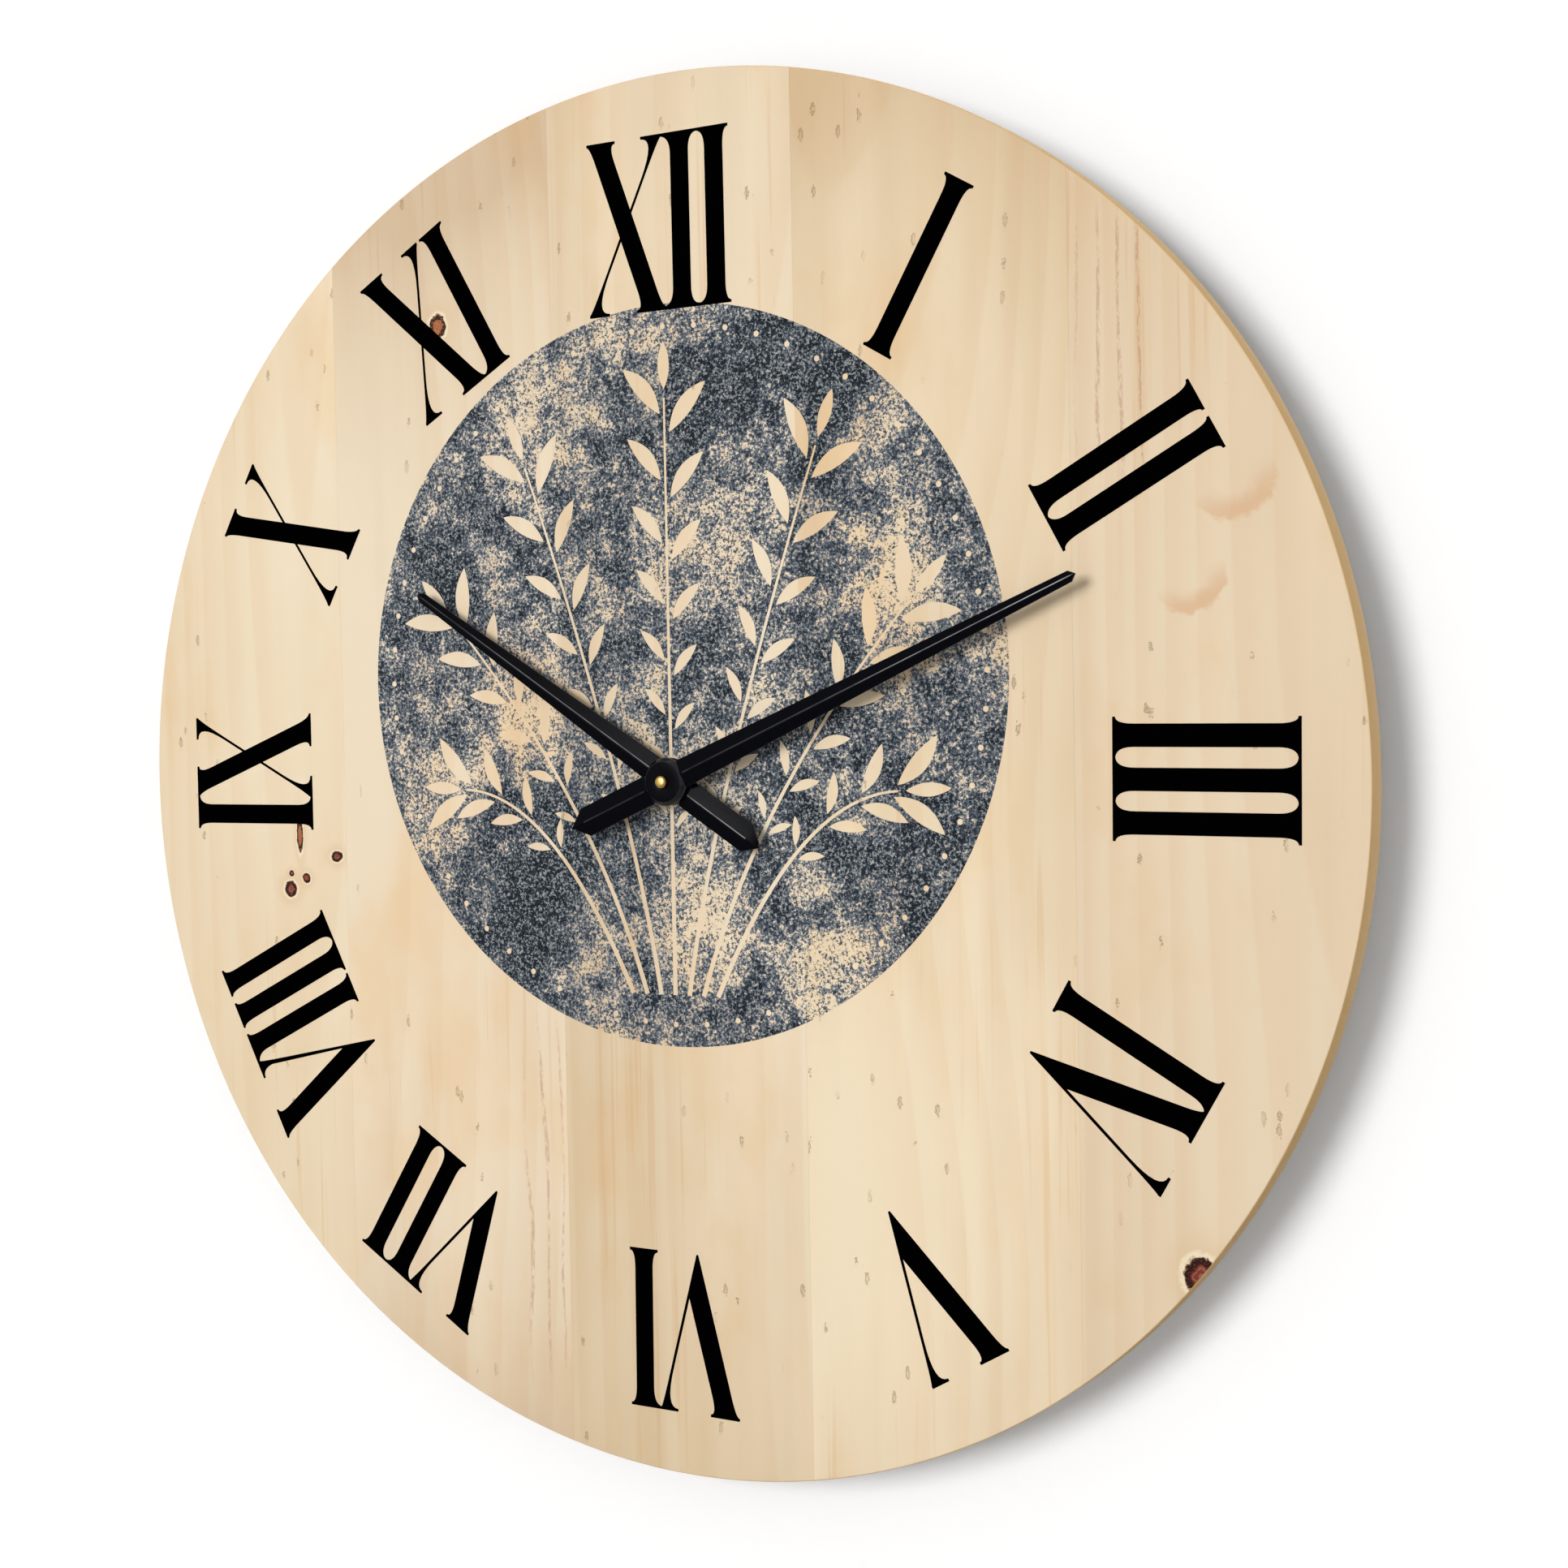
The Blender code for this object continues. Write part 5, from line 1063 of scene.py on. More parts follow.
# %% Assemble each hand
# Length, clock angle in degrees, and the radii of the bore and of the nut's seat.
CLOCK_HANDS = {
    "minute_hand": (208 * MM, 66.9, 1.8 * MM, 3.1 * MM),
    "hour_hand": (160 * MM, 302.4, 3.9 * MM, 4.2 * MM),
}
SEAT_DEPTH = 0.6 * MM
HAND_SHARP = 12
for name, (length, clock_degrees, bore, seat) in CLOCK_HANDS.items():
    low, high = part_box(name)
    underside, hub_top = high.y, high.y - low.y
    angle = math.radians(clock_degrees)
    foot = HUB_RADIUS + HUB_SKIRT
    roof = hub_top - SEAT_DEPTH - SHEET
    profile = [
        (bore, hub_top - SEAT_DEPTH), (seat, hub_top - SEAT_DEPTH), (seat, hub_top), (HUB_RADIUS, hub_top),
        (HUB_RADIUS + HUB_SKIRT / 2, (hub_top + SHEET) / 2), (foot, SHEET), (foot, 0.0), (foot - SHEET, 0.0),
        (HUB_RADIUS - SHEET, roof), (bore, roof),
    ]
    ease = np.array([0.1, 0.1, 0.12, 0.45, 0.5, 0.3, 0.1, 0.2, 0.3, 0.1]) * MM
    profile = eased([(r, underside - h) for r, h in profile], ease, 4)
    hub = turned(name, profile, 128, CENTRE, wrap=True)
    inner = foot - 2 * SHEET
    taper = (BLADE_HALF_WIDTH - TIP_HALF_WIDTH) / length
    long_blade = blade_rings(inner, length, BLADE_HALF_WIDTH - taper * inner, TIP_HALF_WIDTH)
    tail = blade_rings(-inner, -TAIL_LENGTH, TAIL_HALF_WIDTH, TAIL_HALF_WIDTH)
    blades = []
    for rings in (long_blade, tail):
        blades.append(shell("blade", as_clock_hand(rings, angle, underside), sharp=HAND_SHARP))
    hand = combined(hub, blades, "UNION", sharp=HAND_SHARP)
    finished(hand, name + "_group", hand_black, [name])
    print(name, "is", len(hand.data.polygons), "faces")

# %% [markdown]
# The hands are held by a small domed brass nut. Under them stand the parts that clamp the movement to the
# dial: a washer, a hexagon nut and the end of a threaded bushing. A thread is a turned surface whose radius
# also depends on the angle: r = R - h f, where f is a zigzag of (depth / pitch + angle / 360). That makes a
# true helix and not a stack of rings.

# %% Brass parts at the centre
BUSHING_BORE = 2.75 * MM
THREAD_PITCH = 0.75 * MM
THREAD_HEIGHT = 0.3 * MM
THREAD_CHAMFER = 0.5 * MM
BORE_FIT = 0.3 * MM
HEX_CHAMFER = 0.55 * MM
NUT_THREAD = 1.7 * MM
NUT_DOME = 0.9 * MM


def zigzag(turns):
    """0 at a whole number of turns, 1 half way between, straight in between and flattened at both ends."""
    share = np.abs(turns - np.floor(turns) - 0.5) * 2
    return np.clip(share * 1.3 - 0.15, 0, 1)


def threaded(name, radius_at, front, back, thread, pitch, at, bore=0.0, sides=48, steps=8, inward=0.0):
    """A rod along Y whose radius at a depth is radius_at(depth) less the thread's zigzag, in a fixed number
    of steps for each turn. With a bore it becomes a tube. thread(depth) is the thread's height there."""
    count = int(round((back - front) / pitch * steps)) + 1
    depth = np.linspace(front, back, count)[:, None]
    angle = np.linspace(0, 2 * np.pi, sides, endpoint=False)[None, :]
    radius = radius_at(depth) - thread(depth) * zigzag(depth / pitch + angle / (2 * np.pi))
    outer = np.stack([at[0] + radius * np.cos(angle), depth + 0 * angle, at[1] + radius * np.sin(angle)], -1)
    if not bore:
        return shell(name, outer, sharp=50)
    ends = np.array([back, back - inward, front + inward, front])[:, None]
    radii = np.array([bore + inward, bore, bore, bore + inward])[:, None]
    inner = np.stack([at[0] + radii * np.cos(angle), ends + 0 * angle, at[1] + radii * np.sin(angle)], -1)
    return shell(name, np.concatenate([outer, inner]), wrap=True, sharp=50)


def ring(name, bore, ease=0.1 * MM, sides=96):
    """A plain turned ring as wide and as deep as the CAD piece of its name."""
    low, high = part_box(name)
    outer = (high.x - low.x) / 2
    profile = [(bore, low.y), (outer, low.y), (outer, high.y), (bore, high.y)]
    return turned(name, eased(profile, ease, 3), sides, CENTRE, wrap=True)


def bushing_radius_at(depth):
    return bushing_radius - np.clip(THREAD_CHAMFER - (depth - bushing_box[0].y), 0, THREAD_HEIGHT)


def bushing_thread(depth):
    return THREAD_HEIGHT * np.clip((depth - bushing_box[0].y) / THREAD_CHAMFER, 0.2, 1)


bushing = threaded(
    "threaded_bushing", bushing_radius_at, bushing_box[0].y, bushing_box[1].y, bushing_thread, THREAD_PITCH,
    CENTRE, BUSHING_BORE, sides=64, inward=0.1 * MM,
)
finished(bushing, "dial", brass, ["threaded_bushing"])
washer = ring("dial_washer", bushing_radius + BORE_FIT)
finished(washer, "dial", brass, ["dial_washer"])

low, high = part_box("hex_nut")
across_flats = min(high.x - low.x, high.z - low.z)
corner = across_flats / math.cos(math.pi / 6) / 2
nut = plate("hex_nut", circle(corner, 6, CENTRE), low.y, high.y)
cone = [(0, low.y), (across_flats / 2, low.y), (corner + 0.1 * MM, low.y + HEX_CHAMFER)]
cone += [(corner + 0.1 * MM, high.y - HEX_CHAMFER), (across_flats / 2, high.y), (0, high.y)]
bore = bushing_radius + BORE_FIT
opening = [(0, low.y - MM), (bore + 0.6 * MM, low.y - MM * 0.6), (bore, low.y + 0.4 * MM)]
opening += [(bore, high.y - 0.4 * MM), (bore + 0.6 * MM, high.y + MM * 0.6), (0, high.y + MM)]
combined(nut, [turned("cone", cone, 96, CENTRE)], "INTERSECT")
combined(nut, [turned("opening", opening, 64, CENTRE)])
finished(nut, "dial", brass, ["hex_nut"])

low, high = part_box("hand_nut")
outer = (high.x - low.x) / 2
t = np.linspace(0, np.pi / 2, 9)
top = np.stack([outer * np.cos(t) ** 0.6, low.y + NUT_DOME - NUT_DOME * np.sin(t)], -1)
inside = [(0.0, low.y + 0.6 * MM), (NUT_THREAD, low.y + 0.6 * MM), (NUT_THREAD, high.y)]
inside += [(outer - 0.2 * MM, high.y)]
dome_nut = turned("hand_nut", np.concatenate([inside, [(outer, high.y - 0.2 * MM)], top]), 96, CENTRE)
finished(dome_nut, "minute_hand_group", brass, ["hand_nut"])
bush = ring("hour_hand_bush", 2.8 * MM)
finished(bush, "hour_hand_group", brass, ["hour_hand_bush"])
print("Brass parts at the centre are done")

# %% [markdown]
# Two battens of plainer, darker pine lie across the back and keep the boards flat. Their grain runs along X,
# so a Mapping node turns the wood before the grain is worked out. Each has a countersunk hole at every board,
# and the upper one is also recessed for the hanger.

# %% Battens
BATTEN_EASE = 1.2 * MM
BATTEN_CORNER = 3 * MM
HEAD_RADIUS, HEAD_HEIGHT, SHANK_RADIUS = 4.0 * MM, 2.6 * MM, 2.0 * MM
CLEAR = 0.3 * MM
HANGER_CORNER = 3 * MM
KEY_DROP = 9 * MM
POCKET = 6 * MM
POCKET_FRONT = -9 * MM


def batten_finish(name, seed):
    material, sockets, place = new_material(name, Specular_IOR_Level=0.3)
    quarter_turn = {"Vector": place, "Rotation": (0.0, math.pi / 2, 0.0)}
    along = add("Mapping", quarter_turn)[0]
    tints = (srgb(226, 196, 150), srgb(203, 168, 122))
    colour, height = sanded_pine(sockets, along, tints, seed, (0.02, 0.05, 6 * MM))
    feed(sockets, Base_Color=colour)
    bump(sockets, height, 0.3 * MM, 0.8)
    return material


def screw_space(low, high, at):
    """The hole that a countersunk screw needs, from the wood's back down past its tip."""
    head = HEAD_RADIUS + CLEAR
    shank = SHANK_RADIUS + CLEAR
    profile = [(0, high.y + MM), (head, high.y + MM), (head, high.y), (shank, high.y - HEAD_HEIGHT - CLEAR)]
    return turned("space", profile + [(shank, low.y), (0, low.y)], 48, at)


hanger_low, hanger_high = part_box("keyhole_hanger")


def hanger_outline(margin=0.0):
    """The hanger's outline with round corners, or one that lies outside it by a margin."""
    left, right = hanger_low.x - margin, hanger_high.x + margin
    bottom, top = hanger_low.z - margin, hanger_high.z + margin
    return eased(rectangle(left, right, bottom, top), HANGER_CORNER + margin, 8)


def hanger_screw_spaces():
    boxes = [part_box(f"hanger_screw_{word}") for word in ("left", "right")]
    return [screw_space(*box, middle_of(*box)) for box in boxes]


for row in ("upper", "lower"):
    node = f"{row}_batten"
    low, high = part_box(node)
    outline = eased(rectangle(low.x, high.x, low.z, high.z), BATTEN_CORNER)
    batten = plate(node, outline, low.y, high.y, BATTEN_EASE, 4)
    spaces = []
    for index in range(BOARDS):
        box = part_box(f"{row}_batten_screw_{index + 1}")
        spaces.append(screw_space(*box, middle_of(*box)))
    if row == "upper":
        spaces.append(plate("recess", hanger_outline(CLEAR), hanger_low.y - CLEAR, MM))
        outline = eased(rectangle(-POCKET, POCKET, -KEY_DROP - POCKET, POCKET), 2 * MM)
        spaces.append(plate("pocket", outline, POCKET_FRONT, hanger_low.y))
        spaces += hanger_screw_spaces()
    combined(batten, spaces)
    finished(batten, "dial", batten_finish(node, 5.0 if row == "upper" else 23.0), [node])
print("Two battens, their screw holes and the hanger's recess")

# %% [markdown]
# The screws are zinc plated wood screws with a countersunk head and a cross recess. Shank and thread are one
# turned surface: the thread's helix starts under the head and dies away at the tip. The cross is cut out with
# a tapered cross-shaped body.

# %% Countersunk screws
SCREW_PITCH = 1.8 * MM
SCREW_THREAD = 0.55 * MM
TIP = 4 * MM
HEAD_LIP = 0.15 * MM
CROSS_HALF, CROSS_ARM, CROSS_DEPTH = 2.2 * MM, 0.45 * MM, 1.7 * MM


def cross_recess(at, back):
    """A cross in three rings, which narrows to a share of its size at the bottom."""
    a, b = CROSS_ARM, CROSS_HALF
    quarter = np.array([(a, a), (a, b), (-a, b)])
    quarter_turn = np.array([(0.0, 1.0), (-1.0, 0.0)])
    outline = np.concatenate([quarter @ np.linalg.matrix_power(quarter_turn, k) for k in range(4)])
    rings = []
    for share, depth in ((1.0, back + 0.5 * MM), (1.0, back - 0.2 * MM), (0.45, back - CROSS_DEPTH)):
        points = outline * share + at
        rings.append(np.insert(points, 1, depth, axis=1))
    return shell("cross", np.stack(rings))


def screw(node):
    low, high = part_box(node)
    at, length = middle_of(low, high), high.y - low.y

    def radius_at(depth):
        below = high.y - depth
        head = HEAD_RADIUS - (below - HEAD_LIP) * (HEAD_RADIUS - SHANK_RADIUS) / HEAD_HEIGHT
        tip = SHANK_RADIUS * np.clip((length - below) / TIP, 0.02, 1)
        return np.where(below < HEAD_HEIGHT + HEAD_LIP, np.clip(head, SHANK_RADIUS, HEAD_RADIUS), tip)

    def thread(depth):
        below = high.y - depth
        starts = np.clip((below - HEAD_HEIGHT - MM) / MM, 0, 1)
        return SCREW_THREAD * starts * np.clip((length - below) / TIP, 0, 1)

    made = threaded(node, radius_at, low.y, high.y, thread, SCREW_PITCH, at, sides=32, steps=12)
    combined(made, [cross_recess(at, high.y)])
    finished(made, "dial", zinc, [node])


for row in ("upper", "lower"):
    for index in range(BOARDS):
        screw(f"{row}_batten_screw_{index + 1}")
for word in ("left", "right"):
    screw(f"hanger_screw_{word}")
print("Twelve screws")

# %% [markdown]
# The hanger is a zinc plated steel plate with round corners and a keyhole: a screw head enters below and the
# clock drops onto its shank. It is stamped, so its rims are a little round.

# %% Keyhole hanger
KEY_ENTRY, KEY_SLOT = 4.8 * MM, 2.4 * MM


def keyhole(front, back):
    """A round entry with a slot above it. The entry's circle meets the slot at the angle where
    r sin(a) = w, with r the entry's radius and w half the slot's width."""
    start = math.asin(KEY_SLOT / KEY_ENTRY)
    lower = np.linspace(math.pi / 2 + start, math.pi * 2.5 - start, 60)
    upper = np.linspace(0, math.pi, 30)
    round_entry = np.stack([KEY_ENTRY * np.cos(lower), KEY_ENTRY * np.sin(lower) - KEY_DROP], -1)
    round_top = np.stack([KEY_SLOT * np.cos(upper), KEY_SLOT * np.sin(upper)], -1)
    return plate("keyhole", np.concatenate([round_entry, round_top]), front, back)


hanger = plate("keyhole_hanger", hanger_outline(), hanger_low.y, hanger_high.y, 0.2 * MM)
combined(hanger, [keyhole(hanger_low.y - MM, hanger_high.y + MM)] + hanger_screw_spaces())
finished(hanger, "dial", zinc, ["keyhole_hanger"])
print("Hanger", round((hanger_high.x - hanger_low.x) / MM), "mm long")

# %% [markdown]
# Moulded plastic has a fine even texture from its mould, a few soft scuffs, and a gloss that changes a little
# from place to place. One group gives a grain and a scuff mask. Rubber, resin and ceramic use it as well,
# with other colours and another gloss.

# %% Plastic finishes
GRAIN = {"Vector": (0.0, 0.0, 0.0), "Scale": 1800.0}
mould_group, given, result = new_group("moulded_surface", GRAIN, ("Grain", "Scuffs"))
texture = add("TexNoise", {"Vector": given["Vector"], "Scale": given["Scale"], "Detail": 2.0})["Fac"]
feed(result, Grain=texture)
scuffs = noise(given["Vector"], 230.0, 4.0, 0.7, 0.4)
feed(result, Scuffs=span(scuffs, 0.55, 0.75))


def plastic(name, colour, scuffed, rough, relief=0.015 * MM, scale=1800.0, **values):
    """A moulded surface in two close colours, with a roughness range."""
    material, sockets, place = new_material(name, **values)
    surface = use_group(mould_group, {"Vector": place, "Scale": scale})
    feed(sockets, Base_Color=blend_of(surface["Scuffs"], colour, scuffed))
    gloss = surface["Grain"] * 0.6 + surface["Scuffs"] * 0.5
    feed(sockets, Roughness=span(gloss, 0.2, 0.8, *rough, smooth=False))
    bump(sockets, surface["Grain"], relief, 0.5)
    return material


black_plastic = plastic("black_plastic", srgb(30, 30, 31), srgb(44, 44, 45), (0.4, 0.6))
white_plastic = plastic("white_plastic", srgb(232, 231, 224), srgb(218, 216, 208), (0.35, 0.5))
rubber = plastic("black_rubber", srgb(28, 28, 28), srgb(48, 47, 46), (0.75, 0.92), 0.03 * MM, 900.0)
resin = plastic("chip_resin", srgb(14, 14, 15), srgb(22, 22, 23), (0.15, 0.35), 0.01 * MM, 500.0)
magnet_dark = plastic("magnet", srgb(62, 62, 66), srgb(84, 84, 88), (0.4, 0.6), 0.01 * MM, 2400.0)
print("Plastics ready")

# %% [markdown]
# The movement is a two-part case, a shallow box with a lid that meets it half way up. Both halves are
# moulded, so their outer corners are rounded. A body with more than two levels is an outline with an inset at
# each depth, which is a plate whose rim can have any profile. The base is cut hollow and has the pivot holes,
# the bushing's hole and the posts that carry the circuit and the stator.

# %% Movement case
CASE_WALL = 1.2 * MM
CASE_CORNER = 3 * MM
CASE_ROUND = 0.8 * MM
BASE_DEPTH = 9 * MM
RIM_CHAMFER = 0.2 * MM
POST_GAP = 0.3 * MM
base_low, base_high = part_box("movement_base")
cover_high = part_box("movement_cover")[1]
CASE_FRONT = base_low.y
CASE_HALF = (base_high.x - base_low.x) / 2
INSIDE = CASE_HALF - CASE_WALL


def layered(name, outline, levels, sharp=SHARP_ANGLE):
    """An outline that lies a given distance inside itself at each of several depths."""
    return shell(name, np.stack([np.insert(inset(outline, i), 1, d, axis=1) for i, d in levels]), sharp=sharp)


def quarter_round(size, depth, direction, steps=5):
    """Levels for a rounded rim that ends at a depth: the inset is size (1 - cos t), and the level lies
    size (1 - sin t) before that depth, along the direction of travel."""
    t = np.linspace(0, np.pi / 2, steps)
    return [(size * (1 - math.cos(a)), depth - direction * size * (1 - math.sin(a))) for a in t]


def square(half, corner, at=CENTRE):
    return eased(rectangle(at[0] - half, at[0] + half, at[1] - half, at[1] + half), corner, 10)


def case_rod(radius, front, back, x, z, sides=24):
    """A rod in the case's own places: x, z from its middle, and depths from its front."""
    return rod("rod", radius, CASE_FRONT + front, CASE_FRONT + back, sides, (x, CENTRE_Z + z))


def block(left, right, bottom, top, front, back, ease=0.0):
    """A box in the case's own places, with eased upright corners where a radius is given."""
    outline = rectangle(left, right, CENTRE_Z + bottom, CENTRE_Z + top)
    outline = eased(outline, ease, 4) if ease else outline
    return plate("block", outline, CASE_FRONT + front, CASE_FRONT + back)


case_corner = 1.6 * CASE_CORNER
case_outline = square(CASE_HALF, case_corner)
base_back = CASE_FRONT + BASE_DEPTH
levels = quarter_round(CASE_ROUND, CASE_FRONT, -1)[::-1]
levels += [(0.0, base_back - RIM_CHAMFER), (RIM_CHAMFER, base_back)]
base = layered("movement_base", case_outline, levels)
hollow_outline = square(INSIDE, case_corner - CASE_WALL)
combined(base, [plate("hollow", hollow_outline, CASE_FRONT + CASE_WALL, base_back + MM)])
motion_x, motion_z = middle_of(*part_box("motion_wheel"))
low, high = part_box("stator")
stator_row = high.z - CENTRE_Z - 4.4 * MM
stator_posts = [(low.x + 1.8 * MM, stator_row), (high.x - 1.8 * MM, stator_row)]
circuit_low, circuit_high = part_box("circuit_board")
lower_row, upper_row = circuit_low.z - CENTRE_Z + 1.4 * MM, circuit_high.z - CENTRE_Z - 2 * MM
post_aside = INSIDE - 6.8 * MM
circuit_posts = [(-post_aside, lower_row), (post_aside, lower_row), (-post_aside, upper_row)]
floor = CASE_WALL - 0.3 * MM
posts = [case_rod(0.5 * MM, floor, 4.1 * MM, motion_x, motion_z - CENTRE_Z)]
for carried, spots in ((low, stator_posts), (circuit_low, circuit_posts)):
    posts += [case_rod(MM, floor, carried.y - CASE_FRONT - POST_GAP, *spot) for spot in spots]
combined(base, [one_mesh("posts", posts)], "UNION")
holes = [case_rod(bushing_radius + BORE_FIT, -MM, 2 * MM, 0.0, 0.0, 64)]
for node in ("third_wheel", "fifth_wheel", "rotor_pinion", "setting_knob"):
    x, z = middle_of(*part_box(node))
    holes.append(case_rod(0.58 * MM, 0.4 * MM, 1.5 * MM, x, z - CENTRE_Z))
combined(base, [one_mesh("holes", holes)])
finished(base, "dial", black_plastic, ["movement_base"])
print("Case", round(2 * CASE_HALF / MM, 1), "mm square")

# %% [markdown]
# The cover has the open battery bay below and a closed room above, with a partition between them. Round the
# setting knob a shallow ring is sunk into its back, with two curved arrows, and a plus and a minus stand at
# the ends of the bay. They are plain marks that every such movement needs, cut 0.25 mm deep.

# %% Cover of the movement
BAY_TOP = -11.5 * MM
PARTITION_TOP = BAY_TOP + 0.8 * MM
MARK_DEPTH = 0.25 * MM
ARROW_RADIUS, ARROW_WIDTH, ARROW_HEAD = 8 * MM, 0.6 * MM, 1.8 * MM
SIGN_ASIDE, SIGN_ROW, SIGN_LENGTH, SIGN_WIDTH = 21.5 * MM, -8 * MM, 3 * MM, 0.7 * MM
RING_INNER, RING_OUTER, RING_DEPTH = 6.1 * MM, 6.7 * MM, 0.4 * MM
COVER_FRONT = cover_high.y - CASE_FRONT - 6.2 * MM
COVER_BACK = cover_high.y - CASE_FRONT
levels = [(RIM_CHAMFER, CASE_FRONT + COVER_FRONT), (0.0, CASE_FRONT + COVER_FRONT + RIM_CHAMFER)]
levels += quarter_round(CASE_ROUND, cover_high.y, 1)
cover = layered("movement_cover", case_outline, levels)
plate_front = COVER_BACK - CASE_WALL
slot_end = INSIDE - 2 * MM
rooms = [
    block(-INSIDE, INSIDE, PARTITION_TOP, INSIDE, COVER_FRONT - MM, plate_front, 0.8 * MM),
    block(-INSIDE, INSIDE, -INSIDE, BAY_TOP, COVER_FRONT - MM, COVER_BACK + MM, 1.2 * MM),
    block(-INSIDE, -slot_end, BAY_TOP - 0.3 * MM, PARTITION_TOP + 0.3 * MM, COVER_FRONT - MM, plate_front),
    block(slot_end, INSIDE, BAY_TOP - 0.3 * MM, PARTITION_TOP + 0.3 * MM, COVER_FRONT - MM, plate_front),
]
combined(cover, rooms)
skirt = block(-slot_end, slot_end, BAY_TOP, PARTITION_TOP, CASE_WALL + 0.3 * MM, COVER_FRONT + MM)
combined(cover, [skirt], "UNION")
knob_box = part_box("setting_knob")
knob_at = middle_of(*knob_box)
knob_radius = (knob_box[1].x - knob_box[0].x) / 2


def arc_arrow(start, end):
    """A band between two angles with a pointed head at the end, about the knob."""
    a = np.radians(np.linspace(start, end, 24))
    outer = knob_at + (ARROW_RADIUS + ARROW_WIDTH / 2) * np.stack([np.cos(a), np.sin(a)], -1)
    inner = knob_at + (ARROW_RADIUS - ARROW_WIDTH / 2) * np.stack([np.cos(a), np.sin(a)], -1)
    b = math.radians(end)
    ahead = np.array([-math.sin(b), math.cos(b)]) * (1 if end > start else -1)
    out = np.array([math.cos(b), math.sin(b)])
    tip = [
        knob_at + (ARROW_RADIUS + ARROW_HEAD / 2) * out,
        knob_at + ARROW_RADIUS * out + ahead * ARROW_HEAD,
        knob_at + (ARROW_RADIUS - ARROW_HEAD / 2) * out,
    ]
    outline = np.concatenate([outer, tip, inner[::-1]])
    return outline if end > start else outline[::-1]


def bar(x, z, width, height):
    return rectangle(x - width / 2, x + width / 2, z - height / 2, z + height / 2) + (0, CENTRE_Z)


def mark(outline):
    return plate("mark", outline, cover_high.y - MARK_DEPTH, cover_high.y + MM)


cutters = [mark(arc_arrow(110, 160)), mark(arc_arrow(70, 20))]
cutters += [mark(bar(side * SIGN_ASIDE, SIGN_ROW, SIGN_LENGTH, SIGN_WIDTH)) for side in (1, -1)]
bottom, above = cover_high.y - RING_DEPTH, cover_high.y + MM
ring_profile = [(RING_INNER, bottom), (RING_OUTER, bottom), (RING_OUTER, above), (RING_INNER, above)]
cutters.append(turned("ring", ring_profile, 96, knob_at, wrap=True))
combined(cover, [one_mesh("marks", cutters)])
upright = mark(bar(-SIGN_ASIDE, SIGN_ROW, SIGN_WIDTH, SIGN_LENGTH))
combined(cover, [upright, rod("hole", 1.4 * MM, 0.0, -5 * MM, 32, knob_at)])
finished(cover, "dial", black_plastic, ["movement_cover"])
print("Cover", len(cover.data.polygons), "faces")

# %% [markdown]
# The setting knob is a knurled disc on a thin shaft, with the pinion that turns the motion wheel at its other
# end. Its knurl is a wave round the rim, r = R - h (1 + cos n a) / 2, and a coin slot crosses its back.

# %% Setting knob
KNURLS = 40
PINION_TEETH = 12
TRAIN_MODULE = 0.25 * MM


def gear_outline(teeth, module, phase, at, addendum, tip_half, root_half):
    """Teeth as wedges with eased corners. Each tooth has a root at each side and a flat tip, at shares of the
    pitch either side of its middle."""
    middle = phase + np.arange(teeth)[:, None] * 2 * np.pi / teeth
    share = np.array([-root_half, -tip_half, tip_half, root_half]) * 2 * np.pi / teeth
    root, tip = module * (teeth / 2 - 1.15), module * (teeth / 2 + addendum)
    radius = np.array([root, tip, tip, root])
    angle = middle + share
    points = np.stack([radius * np.cos(angle), radius * np.sin(angle)], -1).reshape(-1, 2)
    return eased(points, np.tile([0.25, 0.12, 0.12, 0.25], teeth) * module, 3) + at


def phase_of(node, teeth, at, front, back):
    """The angle of a tooth: the mean of exp(i n a) over the points of the CAD gear that lie furthest out."""
    points = np.array([v.co[:] for v in bpy.data.objects[node].data.vertices])
    points = points[(points[:, 1] > front - 0.01 * MM) & (points[:, 1] < back + 0.01 * MM)]
    spot = (points[:, 0] - at[0]) + 1j * (points[:, 2] - at[1])
    tips = spot[np.abs(spot) > np.abs(spot).max() - 0.01 * MM]
    return float(np.angle(np.mean((tips / np.abs(tips)) ** teeth))) / teeth


low, high = knob_box
a = np.linspace(0, 2 * np.pi, KNURLS * 8, endpoint=False)
radius = knob_radius - 0.15 * MM * (1 + np.cos(KNURLS * a))
outline = knob_at + radius[:, None] * np.stack([np.cos(a), np.sin(a)], -1)
knob = plate("setting_knob", outline, high.y - 1.2 * MM, high.y, 0.2 * MM)
slot_outline = rectangle(-3 * MM, 3 * MM, -0.4 * MM, 0.4 * MM) + knob_at
slot = plate("slot", slot_outline, high.y - 0.35 * MM, high.y + MM)
shaft = rod("shaft", 1.1 * MM, CASE_FRONT + 3 * MM, high.y - MM, 32, knob_at)
pinion_front, pinion_back = CASE_FRONT + 2.8 * MM, CASE_FRONT + 4.0 * MM
phase = phase_of("setting_knob", PINION_TEETH, knob_at, pinion_front, pinion_back)
teeth = gear_outline(PINION_TEETH, TRAIN_MODULE, phase, knob_at, 0.75, 0.09, 0.19)
pinion = plate("pinion", teeth, pinion_front, pinion_back)
pivot = rod("pivot", 0.5 * MM, low.y, CASE_FRONT + 3.3 * MM, 24, knob_at)
combined(knob, [slot])
combined(knob, [shaft, pinion, pivot], "UNION")
finished(knob, "knob", black_plastic, ["setting_knob"])
print("Knob", round(2 * knob_radius / MM, 1), "mm across with", KNURLS, "knurls")

# %% [markdown]
# The battery lies along X. It is turned about its own long axis: a can with a nub at the positive end, a
# crimp at both ends and a thin jacket. The jacket is plain, in two tones, with a band of copper colour at the
# positive end. Nothing is printed on it.

# %% Battery


